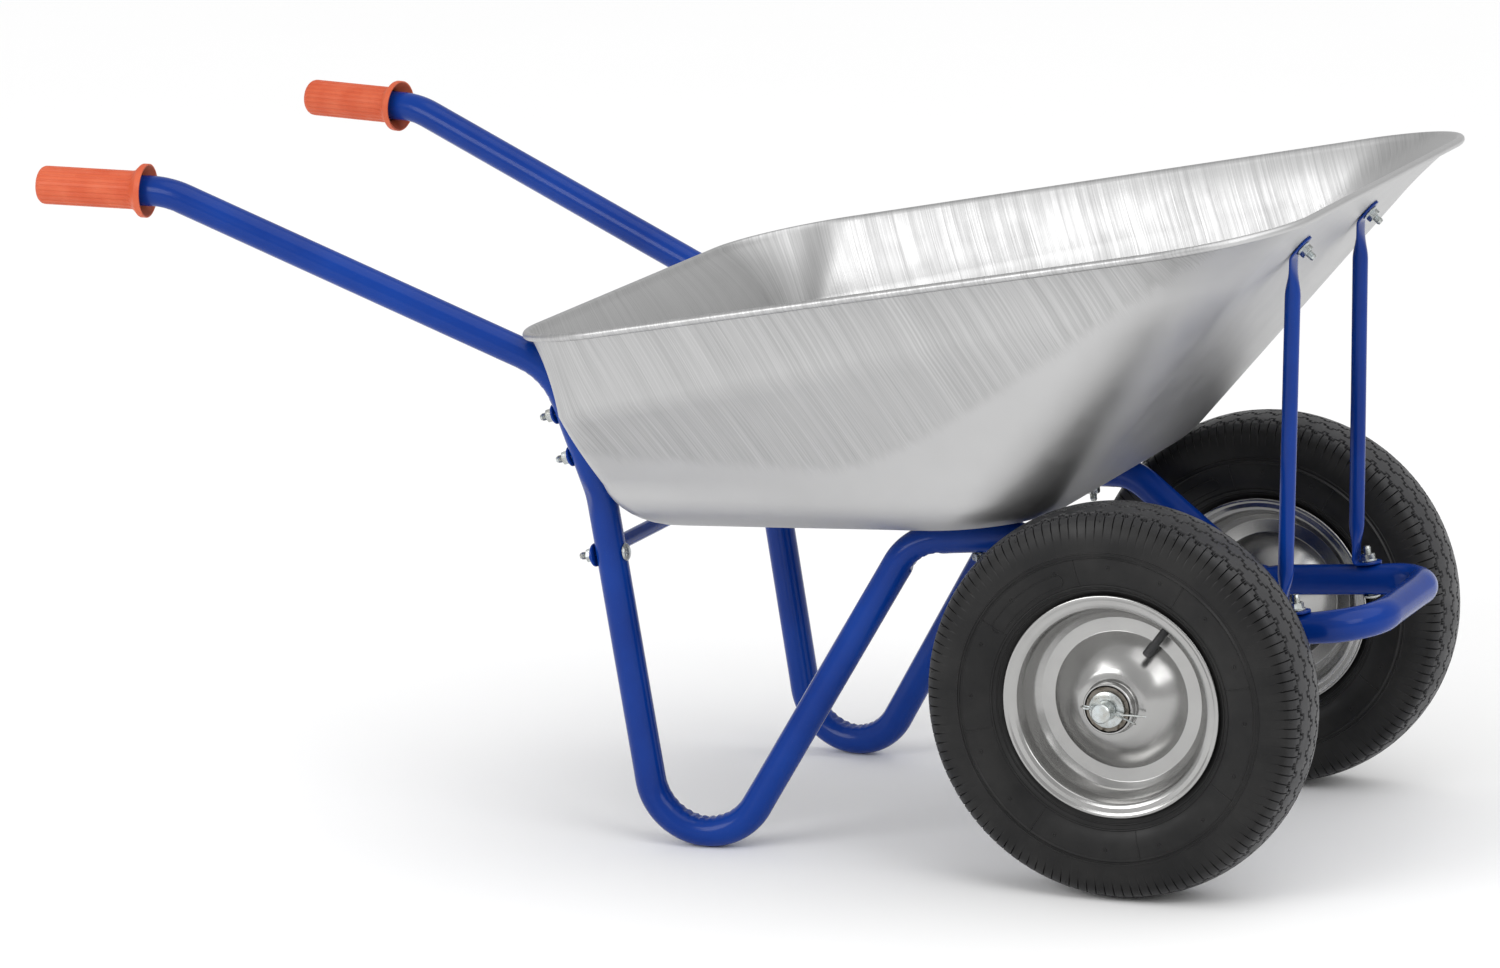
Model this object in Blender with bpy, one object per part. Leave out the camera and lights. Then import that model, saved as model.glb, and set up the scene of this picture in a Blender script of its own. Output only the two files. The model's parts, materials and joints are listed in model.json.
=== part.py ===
"""Two-wheeled barrow: one bent steel tube from grip to grip, a pressed galvanised
tray bolted into it, two front struts, a rear brace, and two pneumatic wheels on a
fixed axle.

Metres, +Z up, +X towards the front lip of the tray, +Y to the left.
The origin is on the ground, in the middle of the barrow's length and width.
"""
from math import atan2, cos, pi, radians, sin, sqrt, tan

import bmesh
import bpy
from mathutils import Matrix, Vector

# ---- driving dimensions -------------------------------------------------------------
GAP = 0.0003                 # left between solids that touch
AXLE_X = 0.46525             # the axle, from the middle of the length
WHEEL_RADIUS = 0.200         # a 4.80/4.00-8 tyre is 400 mm across
WHEEL_Y = 0.2367             # middle plane of each wheel
AXLE_RADIUS = 0.010
AXLE_HALF_LENGTH = 0.302
RUNNING_CLEARANCE = 0.00008  # between the axle and its bearings

TUBE_RADIUS = 0.016          # the frame is a 32 mm tube
TUBE_WALL = 0.0015
STAY_RADIUS = 0.008          # struts and brace are 16 mm tube
STAY_WALL = 0.0012
FLAT_HALF_THICKNESS = 0.0017  # where a stay is pressed flat for its bolt
FLAT_HALF_WIDTH = 0.0122
FLAT_TOE = 0.0140            # from a bolt to the end of its flat
FLAT_HEEL = 0.0170           # from a bolt to where the tube starts to round
STAY_TAPER = 0.036           # length over which a flat grows into a round tube

# Frame corners on one side, from the axle: forward, out from the middle, up.
GRIP_END = Vector((-1.157, 0.3089, 0.6822))
HANDLE_BEND = Vector((-1.021, 0.2928, 0.6777))
SHOULDER = Vector((-0.6145, 0.2332, 0.5027))
KNEE = Vector((-0.5766, 0.2109, 0.3701))
FOOT = Vector((-0.5060, 0.2060, -0.1036))
UNDER_TRAY_REAR = Vector((-0.2460, 0.1757, 0.3352))
UNDER_TRAY_FRONT = Vector((-0.1300, 0.1600, 0.3418))
AXLE_DIP = Vector((0.0110, 0.1370, 0.2402))
LOOP_CORNER = Vector((0.2175, 0.1050, 0.2620))

SHEET = 0.0012               # thickness of the tray
RIM_BEAD_RADIUS = 0.0042
BEAD_OUT = 0.0040            # the bead's middle, outwards and up from the wall's top
BEAD_UP = 0.0022
TRAY_CLEARANCE = 0.0008       # between the tray and the tubes that carry it
TRAY_REAR_RIM = Vector((-0.6300, 0.0, 0.5415))
TRAY_REAR_KNEE_Z = 0.5060
TRAY_FRONT_WALL = Vector((0.1465, 0.0, 0.6430))
TRAY_FRONT_SLOPE = radians(50.0)
TRAY_FRONT_RIM = Vector((0.1960, 0.0, 0.6908))
TRAY_TAPER = 0.0080          # half the difference between front and rear half widths
TRAY_FLOOR_HALF_WIDTH = 0.2450
TRAY_FLOOR_Z = 0.3480        # half way along
TRAY_SIDE_KNEE = Vector((0.0, 0.3390, 0.5980))
TRAY_SIDE_RIM = Vector((0.0, 0.3560, 0.6175))
TRAY_CORNER_STEPS = 5

BOLT_RADIUS = 0.0040         # M8 throughout
HEAD_RADIUS = 0.0092
HEAD_HEIGHT = 0.0042
NUT_RADIUS = 0.0075
NUT_HEIGHT = 0.0075
WASHER_THICKNESS = 0.0025
STUD_OVERHANG = 0.0080

COTTER_Y = 0.2905            # split pins through the axle
COTTER_WAY = Vector((cos(radians(-9.0)), 0.0, sin(radians(-9.0))))
COTTER_HOLE_RADIUS = 0.0025
VALVE_ANGLE = radians(56.0)  # from the rear, over the top
VALVE_FOOT = (0.1080, 0.0086)  # radius, then distance out from the wheel's middle
VALVE_TIP = (0.0640, 0.0300)
VALVE_RADIUS = 0.0048

HUB_FACETS = 16              # flats round the axle and everything turned about it
HOLE_FACETS = 8

SIDES = {"right": -1.0, "left": 1.0}


# ---- materials ----------------------------------------------------------------------
def make_material(name, colour, roughness, metallic):
    material = bpy.data.materials.new(name)
    material.use_nodes = True
    shader = material.node_tree.nodes["Principled BSDF"]
    shader.inputs["Base Color"].default_value = (*colour, 1.0)
    shader.inputs["Roughness"].default_value = roughness
    shader.inputs["Metallic"].default_value = metallic
    return material


def make_materials():
    return {
        "blue_paint": make_material("blue_paint", (0.008, 0.035, 0.30), 0.25, 0.0),
        "galvanised": make_material("galvanised", (0.62, 0.63, 0.64), 0.38, 1.0),
        "zinc_plate": make_material("zinc_plate", (0.70, 0.71, 0.73), 0.30, 1.0),
        "rim_steel": make_material("rim_steel", (0.52, 0.53, 0.54), 0.32, 1.0),
        "tyre_rubber": make_material("tyre_rubber", (0.022, 0.022, 0.024), 0.75, 0.0),
        "tube_rubber": make_material("tube_rubber", (0.015, 0.015, 0.016), 0.60, 0.0),
        "orange_plastic": make_material("orange_plastic", (0.80, 0.13, 0.03), 0.45, 0.0),
        "bearing_steel": make_material("bearing_steel", (0.40, 0.40, 0.41), 0.28, 1.0),
    }


# ---- placing and mesh helpers -------------------------------------------------------
def place(point, side=1.0):
    """A point given from the axle, as a point of the part, on the side asked for."""
    return Vector((AXLE_X + point.x, side * point.y, point.z))


def make_object(name, mesh_builder, material, smooth_angle=35.0):
    """Close the bmesh, face it outwards and link it as a named object."""
    mesh = bpy.data.meshes.new(name)
    mesh_builder.to_mesh(mesh)
    mesh_builder.free()
    mesh.materials.append(material)
    mesh.shade_smooth()
    mesh.set_sharp_from_angle(angle=radians(smooth_angle))
    piece = bpy.data.objects.new(name, mesh)
    bpy.context.scene.collection.objects.link(piece)
    return piece


def bridge_rings(builder, rings, closed_path):
    """Join rings of points, each ring closed, one after another with quads."""
    vertices = [[builder.verts.new(point) for point in ring] for ring in rings]
    count = len(vertices)
    steps = count if closed_path else count - 1
    for step in range(steps):
        here = vertices[step]
        there = vertices[(step + 1) % count]
        for index in range(len(here)):
            following = (index + 1) % len(here)
            builder.faces.new((here[index], here[following], there[following], there[index]))
    return vertices


def finish_builder(builder):
    bmesh.ops.triangulate(builder, faces=[f for f in builder.faces if len(f.verts) > 4])
    bmesh.ops.recalc_face_normals(builder, faces=builder.faces)
    return builder


def fillet_path(corners, radii, steps=None):
    """A polyline with each inner corner replaced by an arc of the given radius.

    Without a number of steps, each arc has one for every thirty degrees or so.
    """
    path = [corners[0].copy()]
    for corner, before, after, radius in zip(corners[1:-1], corners, corners[2:], radii):
        to_before = (before - corner).normalized()
        to_after = (after - corner).normalized()
        half = to_before.angle(to_after) / 2.0
        reach = radius / tan(half)
        centre = corner + (to_before + to_after).normalized() * (radius / sin(half))
        start = corner + to_before * reach
        end = corner + to_after * reach
        first = (start - centre).normalized()
        last = (end - centre).normalized()
        sweep = first.angle(last)
        arc_steps = steps or max(2, round(sweep / radians(30.0)))
        for step in range(arc_steps + 1):
            share = step / arc_steps
            direction = first * sin((1.0 - share) * sweep) + last * sin(share * sweep)
            path.append(centre + direction * (radius / sin(sweep)))
    path.append(corners[-1].copy())
    return path


def path_tangents(path):
    tangents = []
    for index in range(len(path)):
        before = path[max(index - 1, 0)]
        after = path[min(index + 1, len(path) - 1)]
        tangents.append((after - before).normalized())
    return tangents


def round_ring(centre, tangent, reference, radius, sides):
    """A circle of points across the tangent, its first point towards the reference."""
    across = (reference - tangent * reference.dot(tangent)).normalized()
    other = tangent.cross(across)
    ring = []
    for index in range(sides):
        turn = 2.0 * pi * (index + 0.5) / sides
        ring.append(centre + across * (radius * cos(turn)) + other * (radius * sin(turn)))
    return ring


def carried_references(tangents, first):
    """Carry a sideways direction along a path without letting it twist."""
    references = []
    current = first
    for tangent in tangents:
        current = (current - tangent * current.dot(tangent)).normalized()
        references.append(current)
    return references


def hollow_tube(name, path, radius, wall, sides, material):
    """A tube along a path, open at both ends."""
    tangents = path_tangents(path)
    references = carried_references(tangents, Vector((0.0, 1.0, 0.0)))
    stations = list(zip(path, tangents, references))
    outer = [round_ring(c, t, r, radius, sides) for c, t, r in stations]
    inner = [round_ring(c, t, r, radius - wall, sides) for c, t, r in stations]
    builder = bmesh.new()
    bridge_rings(builder, outer + inner[::-1], closed_path=True)
    return make_object(name, finish_builder(builder), material)


def flattened_tube(name, stations, wide_way, wall, material, sides=8):
    """A tube whose section changes; each station is (centre, half thickness, half width)."""
    tangents = path_tangents([station[0] for station in stations])

    def rings(inset):
        made = []
        for (centre, half_thickness, half_width), tangent in zip(stations, tangents):
            thick_way = tangent.cross(wide_way).normalized()
            ring = []
            for index in range(sides):
                turn = 2.0 * pi * (index + 0.5) / sides
                ring.append(
                    centre
                    + thick_way * ((half_thickness - inset) * cos(turn))
                    + wide_way * ((half_width - inset) * sin(turn))
                )
            made.append(ring)
        return made

    builder = bmesh.new()
    bridge_rings(builder, rings(0.0) + rings(wall)[::-1], closed_path=True)
    return make_object(name, finish_builder(builder), material)


def turned(name, profile, origin, axis, segments, material, smooth_angle=35.0):
    """Turn a closed profile of (radius, distance along the axis) about an axis."""
    along = axis.normalized()
    across = along.orthogonal().normalized()
    if abs(along.y) > 0.99:
        across = Vector((0.0, 0.0, -1.0))
    other = along.cross(across)
    rings = []
    for index in range(segments):
        turn = 2.0 * pi * index / segments
        spoke = across * cos(turn) + other * sin(turn)
        rings.append([origin + spoke * radius + along * height for radius, height in profile])
    builder = bmesh.new()
    bridge_rings(builder, rings, closed_path=True)
    bmesh.ops.remove_doubles(builder, verts=builder.verts, dist=1e-6)
    bmesh.ops.dissolve_degenerate(builder, dist=1e-7, edges=builder.edges)
    return make_object(name, finish_builder(builder), material, smooth_angle)


def offset_outline(points, distance):
    """An open outline of (radius, height) points, moved sideways by a distance."""
    moved = []
    for index, (radius, height) in enumerate(points):
        normals = []
        for first, second in ((index - 1, index), (index, index + 1)):
            if first >= 0 and second < len(points):
                run = points[second][0] - points[first][0]
                rise = points[second][1] - points[first][1]
                length = sqrt(run * run + rise * rise)
                normals.append((-rise / length, run / length))
        normal_x = sum(normal[0] for normal in normals) / len(normals)
        normal_y = sum(normal[1] for normal in normals) / len(normals)
        scale = distance / (normal_x * normal_x + normal_y * normal_y)
        moved.append((radius + normal_x * scale, height + normal_y * scale))
    return moved


def cut_holes(piece, holes, radius):
    """Cut round holes, each given as (a point on the axis, the axis, half the depth)."""
    for number, (centre, axis, half_depth) in enumerate(holes):
        builder = bmesh.new()
        bmesh.ops.create_cone(
            builder, cap_ends=True, cap_tris=False, segments=HOLE_FACETS,
            radius1=radius, radius2=radius, depth=2.0 * half_depth,
        )
        turn = axis.to_track_quat("Z", "Y").to_matrix().to_4x4()
        builder.transform(Matrix.Translation(centre) @ turn)
        mesh = bpy.data.meshes.new(f"{piece.name}_cutter_{number}")
        builder.to_mesh(mesh)
        builder.free()
        cutter = bpy.data.objects.new(mesh.name, mesh)
        bpy.context.scene.collection.objects.link(cutter)
        cutter.hide_render = True
        cutter.display_type = "WIRE"
        cut = piece.modifiers.new(f"hole_{number}", "BOOLEAN")
        cut.operation = "DIFFERENCE"
        cut.solver = "EXACT"
        cut.object = cutter


# ---- fasteners ----------------------------------------------------------------------
def dome_bolt(name, seat, axis, reach, material):
    """A dome-headed bolt: its head sits on the seat, its shank runs along the axis."""
    profile = [
        (0.0, -HEAD_HEIGHT),
        (0.6 * HEAD_RADIUS, -0.8 * HEAD_HEIGHT),
        (HEAD_RADIUS, -0.15 * HEAD_HEIGHT),
        (HEAD_RADIUS, 0.0),
        (BOLT_RADIUS, 0.0),
        (BOLT_RADIUS, reach),
        (0.0, reach),
    ]
    return solid_of_revolution(name, profile, seat, axis, 8, material)


def solid_of_revolution(name, profile, origin, axis, segments, material):
    """Turn an open profile that starts and ends on the axis."""
    along = axis.normalized()
    across = along.orthogonal().normalized()
    if abs(along.y) > 0.99:
        across = Vector((0.0, 0.0, -1.0))
    other = along.cross(across)
    builder = bmesh.new()
    rings = []
    for radius, height in profile:
        if radius == 0.0:
            rings.append([builder.verts.new(origin + along * height)])
            continue
        ring = []
        for index in range(segments):
            turn = 2.0 * pi * index / segments
            spoke = across * cos(turn) + other * sin(turn)
            ring.append(builder.verts.new(origin + spoke * radius + along * height))
        rings.append(ring)
    for lower, upper in zip(rings, rings[1:]):
        for index in range(segments):
            following = (index + 1) % segments
            corners = [lower[index % len(lower)], lower[following % len(lower)]]
            corners += [upper[following % len(upper)], upper[index % len(upper)]]
            builder.faces.new(list(dict.fromkeys(corners)))
    return make_object(name, finish_builder(builder), material)


def hex_nut(name, seat, axis, material):
    """A hexagon nut standing on its seat, with a bore that clears the bolt."""
    bore_corner = (BOLT_RADIUS + GAP) / cos(pi / 6.0)
    profile = [
        (bore_corner, 0.0),
        (NUT_RADIUS, 0.0),
        (NUT_RADIUS, NUT_HEIGHT),
        (bore_corner, NUT_HEIGHT),
    ]
    return turned(name, profile, seat, axis, 6, material, smooth_angle=20.0)


def flat_washer(name, seat, axis, bore, radius, thickness, segments, material):
    profile = [(bore, 0.0), (radius, 0.0), (radius, thickness), (bore, thickness)]
    return turned(name, profile, seat, axis, segments, material)


def bolted_joint(name, middle, axis, head_at, nut_at, materials, washer=False):
    """A bolt and nut on a line: distances are from the middle, along and against it."""
    zinc = materials["zinc_plate"]
    along = axis.normalized()
    head_seat = middle + along * (head_at + GAP)
    nut_seat = middle - along * (nut_at + GAP)
    if washer:
        flat_washer(
            f"{name}_washer", nut_seat, -along, BOLT_RADIUS + 2.0 * GAP, 0.0105,
            WASHER_THICKNESS, 8, materials["blue_paint"],
        )
        nut_seat = nut_seat - along * (WASHER_THICKNESS + GAP)
    reach = (head_seat - nut_seat).length + NUT_HEIGHT + STUD_OVERHANG
    dome_bolt(f"{name}_bolt", head_seat, -along, reach, zinc)
    hex_nut(f"{name}_nut", nut_seat, -along, zinc)


# ---- frame --------------------------------------------------------------------------
def across_tube(start, end):
    """The direction across a run of the frame, upright or forward, in its side view."""
    run = Vector((end.x - start.x, 0.0, end.z - start.z)).normalized()
    normal = Vector((-run.z, 0.0, run.x))
    if normal.x + normal.z < 0.0:
        normal.negate()
    return normal


def on_run(start, end, share):
    return start.lerp(end, share)


REAR_WALL_NORMAL = across_tube(SHOULDER, KNEE)
LEG_NORMAL = across_tube(KNEE, FOOT)
FLOOR_NORMAL = across_tube(UNDER_TRAY_REAR, UNDER_TRAY_FRONT)
FRONT_RUN_NORMAL = across_tube(AXLE_DIP, LOOP_CORNER)
FRONT_WALL_NORMAL = Vector((sin(TRAY_FRONT_SLOPE), 0.0, -cos(TRAY_FRONT_SLOPE)))

REAR_BOLT_SHARES = {"upper": 0.34, "lower": 0.68}
BRACE_SHARE = 0.135
FLOOR_BOLT_SHARE = 0.58
STRUT_FOOT_SHARE = 0.650
STRUT_Y = 0.1080
STRUT_FOOT = on_run(AXLE_DIP, LOOP_CORNER, STRUT_FOOT_SHARE)
STRUT_HEAD = Vector((TRAY_FRONT_WALL.x, STRUT_Y, TRAY_FRONT_WALL.z))
BRACE_END = on_run(KNEE, FOOT, BRACE_SHARE)


def frame_path():
    """The tube's middle line from the right grip, round the front, to the left grip."""
    side_corners = [
        GRIP_END, HANDLE_BEND, SHOULDER, KNEE, FOOT,
        UNDER_TRAY_REAR, UNDER_TRAY_FRONT, AXLE_DIP, LOOP_CORNER,
    ]
    bend_radii = [0.100, 0.075, 0.110, 0.062, 0.060, 0.060, 0.055, 0.058]
    right = [place(corner, -1.0) for corner in side_corners]
    left = [place(corner, 1.0) for corner in reversed(side_corners)]
    radii = bend_radii + bend_radii[::-1]
    return fillet_path(right + left, radii)


def build_frame(materials):
    tube = hollow_tube(
        "frame_tube", frame_path(), TUBE_RADIUS, TUBE_WALL, 8, materials["blue_paint"]
    )
    holes = []
    for side in SIDES.values():
        for share in REAR_BOLT_SHARES.values():
            holes.append((place(on_run(SHOULDER, KNEE, share), side), REAR_WALL_NORMAL, 0.03))
        holes.append((place(BRACE_END, side), LEG_NORMAL, 0.03))
        floor_bolt = on_run(UNDER_TRAY_REAR, UNDER_TRAY_FRONT, FLOOR_BOLT_SHARE)
        holes.append((place(floor_bolt, side), FLOOR_NORMAL, 0.03))
        holes.append((place(STRUT_FOOT, side), FRONT_RUN_NORMAL, 0.03))
    cut_holes(tube, holes, BOLT_RADIUS + 2.0 * GAP)


def build_brace(materials):
    """The straight stay between the rear legs, flattened where it is bolted."""
    offset = LEG_NORMAL * (TUBE_RADIUS + GAP + FLAT_HALF_THICKNESS)
    end = BRACE_END - offset
    outward = Vector((0.0, 1.0, 0.0))
    stations = []
    for side in (-1.0, 1.0):
        tip = place(end + outward * FLAT_TOE, side)
        flat = place(end - outward * FLAT_HEEL, side)
        round_from = place(end - outward * (FLAT_HEEL + STAY_TAPER), side)
        run = [
            (tip, FLAT_HALF_THICKNESS, 0.75 * FLAT_HALF_WIDTH),
            (tip.lerp(flat, 0.15), FLAT_HALF_THICKNESS, FLAT_HALF_WIDTH),
            (flat, FLAT_HALF_THICKNESS, FLAT_HALF_WIDTH),
            (round_from, STAY_RADIUS, STAY_RADIUS),
        ]
        stations += run if side < 0.0 else run[::-1]
    wide_way = LEG_NORMAL.cross(Vector((0.0, 1.0, 0.0)))
    brace = flattened_tube("rear_brace", stations, wide_way, STAY_WALL, materials["blue_paint"])
    holes = [(place(end, side), LEG_NORMAL, 0.02) for side in SIDES.values()]
    cut_holes(brace, holes, BOLT_RADIUS + 2.0 * GAP)


def strut_stations(side):
    """Forward tab on the front tube, upright tube, and a tab on the tray's front wall."""
    tab_low = STRUT_FOOT + FRONT_RUN_NORMAL * (TUBE_RADIUS + GAP + FLAT_HALF_THICKNESS)
    tab_high = STRUT_HEAD + FRONT_WALL_NORMAL * (GAP + FLAT_HALF_THICKNESS)
    low_way = Vector((FRONT_RUN_NORMAL.z, 0.0, -FRONT_RUN_NORMAL.x))
    high_way = Vector((cos(TRAY_FRONT_SLOPE), 0.0, sin(TRAY_FRONT_SLOPE)))
    corner_low = tab_low - low_way * 0.0135
    corner_high = tab_high - high_way * 0.0130
    toe_low = tab_low + low_way * FLAT_TOE
    toe_high = tab_high + high_way * 0.0125
    corners = [toe_low, corner_low, corner_high, toe_high]
    path = fillet_path([place(corner, side) for corner in corners], [0.0035, 0.0060], steps=2)
    flat = (FLAT_HALF_THICKNESS, FLAT_HALF_WIDTH)
    low_end, *low_bend, high_start, high_mid, high_finish, high_end = path
    upright = (high_start - low_bend[-1]).normalized()
    return [
        (low_end, FLAT_HALF_THICKNESS, 0.8 * FLAT_HALF_WIDTH),
        *[(point, *flat) for point in low_bend],
        (low_bend[-1] + upright * STAY_TAPER, STAY_RADIUS, STAY_RADIUS),
        (high_start - upright * STAY_TAPER, STAY_RADIUS, STAY_RADIUS),
        (high_start, *flat),
        (high_mid, *flat),
        (high_finish, *flat),
        (high_end, FLAT_HALF_THICKNESS, 0.8 * FLAT_HALF_WIDTH),
    ]


def build_struts(materials):
    for side_name, side in SIDES.items():
        strut = flattened_tube(
            f"front_strut_{side_name}", strut_stations(side), Vector((0.0, 1.0, 0.0)),
            STAY_WALL, materials["blue_paint"],
        )
        holes = [
            (place(STRUT_FOOT, side) + FRONT_RUN_NORMAL * TUBE_RADIUS, FRONT_RUN_NORMAL, 0.012),
            (place(STRUT_HEAD, side), FRONT_WALL_NORMAL, 0.012),
        ]
        cut_holes(strut, holes, BOLT_RADIUS + 2.0 * GAP)


def build_frame_fasteners(materials):
    behind_leg = TUBE_RADIUS
    stay_flat = 2.0 * FLAT_HALF_THICKNESS + GAP
    tray_inside = TUBE_RADIUS + TRAY_CLEARANCE + SHEET
    for side_name, side in SIDES.items():
        for level, share in REAR_BOLT_SHARES.items():
            bolted_joint(
                f"tray_rear_{level}_{side_name}", place(on_run(SHOULDER, KNEE, share), side),
                REAR_WALL_NORMAL, tray_inside, behind_leg, materials, washer=True,
            )
        bolted_joint(
            f"brace_{side_name}", place(BRACE_END, side), LEG_NORMAL,
            TUBE_RADIUS, behind_leg + stay_flat, materials,
        )
        floor_bolt = on_run(UNDER_TRAY_REAR, UNDER_TRAY_FRONT, FLOOR_BOLT_SHARE)
        bolted_joint(
            f"tray_floor_{side_name}", place(floor_bolt, side), FLOOR_NORMAL,
            tray_inside, TUBE_RADIUS, materials,
        )
        bolted_joint(
            f"strut_foot_{side_name}", place(STRUT_FOOT, side), -FRONT_RUN_NORMAL,
            TUBE_RADIUS, TUBE_RADIUS + stay_flat, materials,
        )
        bolted_joint(
            f"strut_head_{side_name}", place(STRUT_HEAD, side), -FRONT_WALL_NORMAL,
            SHEET, stay_flat, materials,
        )


# ---- tray ---------------------------------------------------------------------------
def meet(point_a, way_a, point_b, way_b):
    """Where two lines of the side view cross."""
    cross = way_a.x * way_b.z - way_a.z * way_b.x
    gap = point_b - point_a
    share = (gap.x * way_b.z - gap.z * way_b.x) / cross
    return point_a + way_a * share


def tray_outlines(inset):
    """Rear, front and side wall outlines, from the floor's edge up to the rim.

    Rear and front lie in the side view. The side outline holds half width and height,
    in a cross section half way along. All three have the same number of points.
    """
    lift = TUBE_RADIUS + TRAY_CLEARANCE + inset
    floor_way = Vector((FLOOR_NORMAL.z, 0.0, -FLOOR_NORMAL.x))
    floor_point = UNDER_TRAY_REAR + FLOOR_NORMAL * lift
    floor_point.y = 0.0
    rear_way = Vector((-REAR_WALL_NORMAL.z, 0.0, REAR_WALL_NORMAL.x))
    rear_point = KNEE + REAR_WALL_NORMAL * lift
    rear_point.y = 0.0
    front_way = Vector((cos(TRAY_FRONT_SLOPE), 0.0, sin(TRAY_FRONT_SLOPE)))
    front_point = TRAY_FRONT_WALL - FRONT_WALL_NORMAL * inset

    rear_corner = meet(floor_point, floor_way, rear_point, rear_way)
    rear_knee = rear_point + rear_way * ((TRAY_REAR_KNEE_Z - rear_point.z) / rear_way.z)
    rear_rim = TRAY_REAR_RIM + Vector((0.6, 0.0, 0.8)) * inset
    front_corner = meet(floor_point, floor_way, front_point, front_way)
    front_knee = front_point + front_way * 0.0235
    front_rim = TRAY_FRONT_RIM + Vector((-0.5, 0.0, 0.85)) * inset
    rear = fillet_path(
        [rear_corner + floor_way * 0.070, rear_corner, rear_knee, rear_rim],
        [0.066 - inset, 0.030], steps=3,
    )
    front = fillet_path(
        [front_corner - floor_way * 0.080, front_corner, front_knee, front_rim],
        [0.110 - inset, 0.040], steps=3,
    )
    side = fillet_path(
        [
            Vector((TRAY_FLOOR_HALF_WIDTH - 0.060, 0.0, TRAY_FLOOR_Z + inset)),
            Vector((TRAY_FLOOR_HALF_WIDTH - 0.6 * inset, 0.0, TRAY_FLOOR_Z + inset)),
            Vector((TRAY_SIDE_KNEE.y - inset, 0.0, TRAY_SIDE_KNEE.z)),
            Vector((TRAY_SIDE_RIM.y - inset, 0.0, TRAY_SIDE_RIM.z)),
        ],
        [0.060 - inset, 0.060], steps=3,
    )
    return rear[1:], front[1:], side[1:]


def tray_ring(rear, front, half_width, share, inset):
    """One level of the tray as a ring of (point, outward direction), anticlockwise."""
    rear_radius = 0.022 + 0.098 * share ** 3 - inset
    front_radius = 0.090 + 0.035 * share - inset
    rear_half = half_width - TRAY_TAPER
    front_half = half_width + TRAY_TAPER
    corners = [
        (front.x - front_radius, front_half - front_radius, front_radius, 0.0),
        (rear.x + rear_radius, rear_half - rear_radius, rear_radius, 90.0),
        (rear.x + rear_radius, -rear_half + rear_radius, rear_radius, 180.0),
        (front.x - front_radius, -front_half + front_radius, front_radius, 270.0),
    ]
    flat_points = []
    for centre_x, centre_y, radius, first_angle in corners:
        for step in range(TRAY_CORNER_STEPS + 1):
            turn = radians(first_angle + 90.0 * step / TRAY_CORNER_STEPS)
            way = Vector((cos(turn), sin(turn), 0.0))
            flat_points.append((Vector((centre_x, centre_y, 0.0)) + way * radius, way))
    ring = []
    for point, way in flat_points:
        along = (point.x - rear.x) / (front.x - rear.x)
        height = rear.z + (front.z - rear.z) * along
        ring.append((place(Vector((point.x, point.y, height))), way))
    return ring


def tray_rings(inset):
    rear, front, side = tray_outlines(inset)
    rings = []
    for rear_point, front_point, side_point in zip(rear, front, side):
        share = (rear_point.z - rear[0].z) / (rear[-1].z - rear[0].z)
        rings.append(tray_ring(rear_point, front_point, side_point.x, share, inset))
    return rings


def ring_points(rings):
    return [[point for point, _ in ring] for ring in rings]


def build_tray(materials):
    """Inner and outer skins joined round the top by a bead rolled over outwards."""
    outer = tray_rings(0.0)
    inner = tray_rings(SHEET)
    bead = []
    for angle in (140.0, 85.0, 30.0, -25.0, -80.0, -135.0):
        turn = radians(angle)
        ring = []
        for point, way in outer[-1]:
            centre = point + way * BEAD_OUT + Vector((0.0, 0.0, BEAD_UP))
            reach = way * cos(turn) + Vector((0.0, 0.0, sin(turn)))
            ring.append(centre + reach * RIM_BEAD_RADIUS)
        bead.append(ring)
    builder = bmesh.new()
    rows = ring_points(inner) + bead + ring_points(outer)[::-1]
    made = bridge_rings(builder, rows, closed_path=False)
    builder.faces.new(made[0])
    builder.faces.new(made[-1])
    tray = make_object("tray", finish_builder(builder), materials["galvanised"])
    holes = []
    for side in SIDES.values():
        for share in REAR_BOLT_SHARES.values():
            rear_bolt = place(on_run(SHOULDER, KNEE, share), side)
            holes.append((rear_bolt + REAR_WALL_NORMAL * TUBE_RADIUS, REAR_WALL_NORMAL, 0.02))
        floor_bolt = on_run(UNDER_TRAY_REAR, UNDER_TRAY_FRONT, FLOOR_BOLT_SHARE)
        holes.append((place(floor_bolt, side) + FLOOR_NORMAL * TUBE_RADIUS, FLOOR_NORMAL, 0.02))
        holes.append((place(STRUT_HEAD, side), FRONT_WALL_NORMAL, 0.02))
    cut_holes(tray, holes, BOLT_RADIUS + 2.0 * GAP)


# ---- grips --------------------------------------------------------------------------
def build_grips(materials):
    """Moulded sleeves, closed and rounded at the rear, with a flange at the front."""
    bore = (TUBE_RADIUS + GAP) / cos(pi / HUB_FACETS)
    for side_name, side in SIDES.items():
        end = place(GRIP_END, side)
        along = (end - place(HANDLE_BEND, side)).normalized()
        profile = [
            (0.0, 0.0055), (0.0120, 0.0050), (0.0175, 0.0015), (0.0200, -0.0050),
            (0.0200, -0.1010), (0.0220, -0.1050), (0.0280, -0.1075), (0.0280, -0.1125),
            (0.0265, -0.1145), (bore, -0.1145), (bore, GAP), (0.0, GAP),
        ]
        solid_of_revolution(
            f"grip_{side_name}", profile, end, along, HUB_FACETS, materials["orange_plastic"]
        )


# ---- axle and wheels ----------------------------------------------------------------
def wheel_centre(side):
    return Vector((AXLE_X, side * WHEEL_Y, WHEEL_RADIUS))


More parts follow.
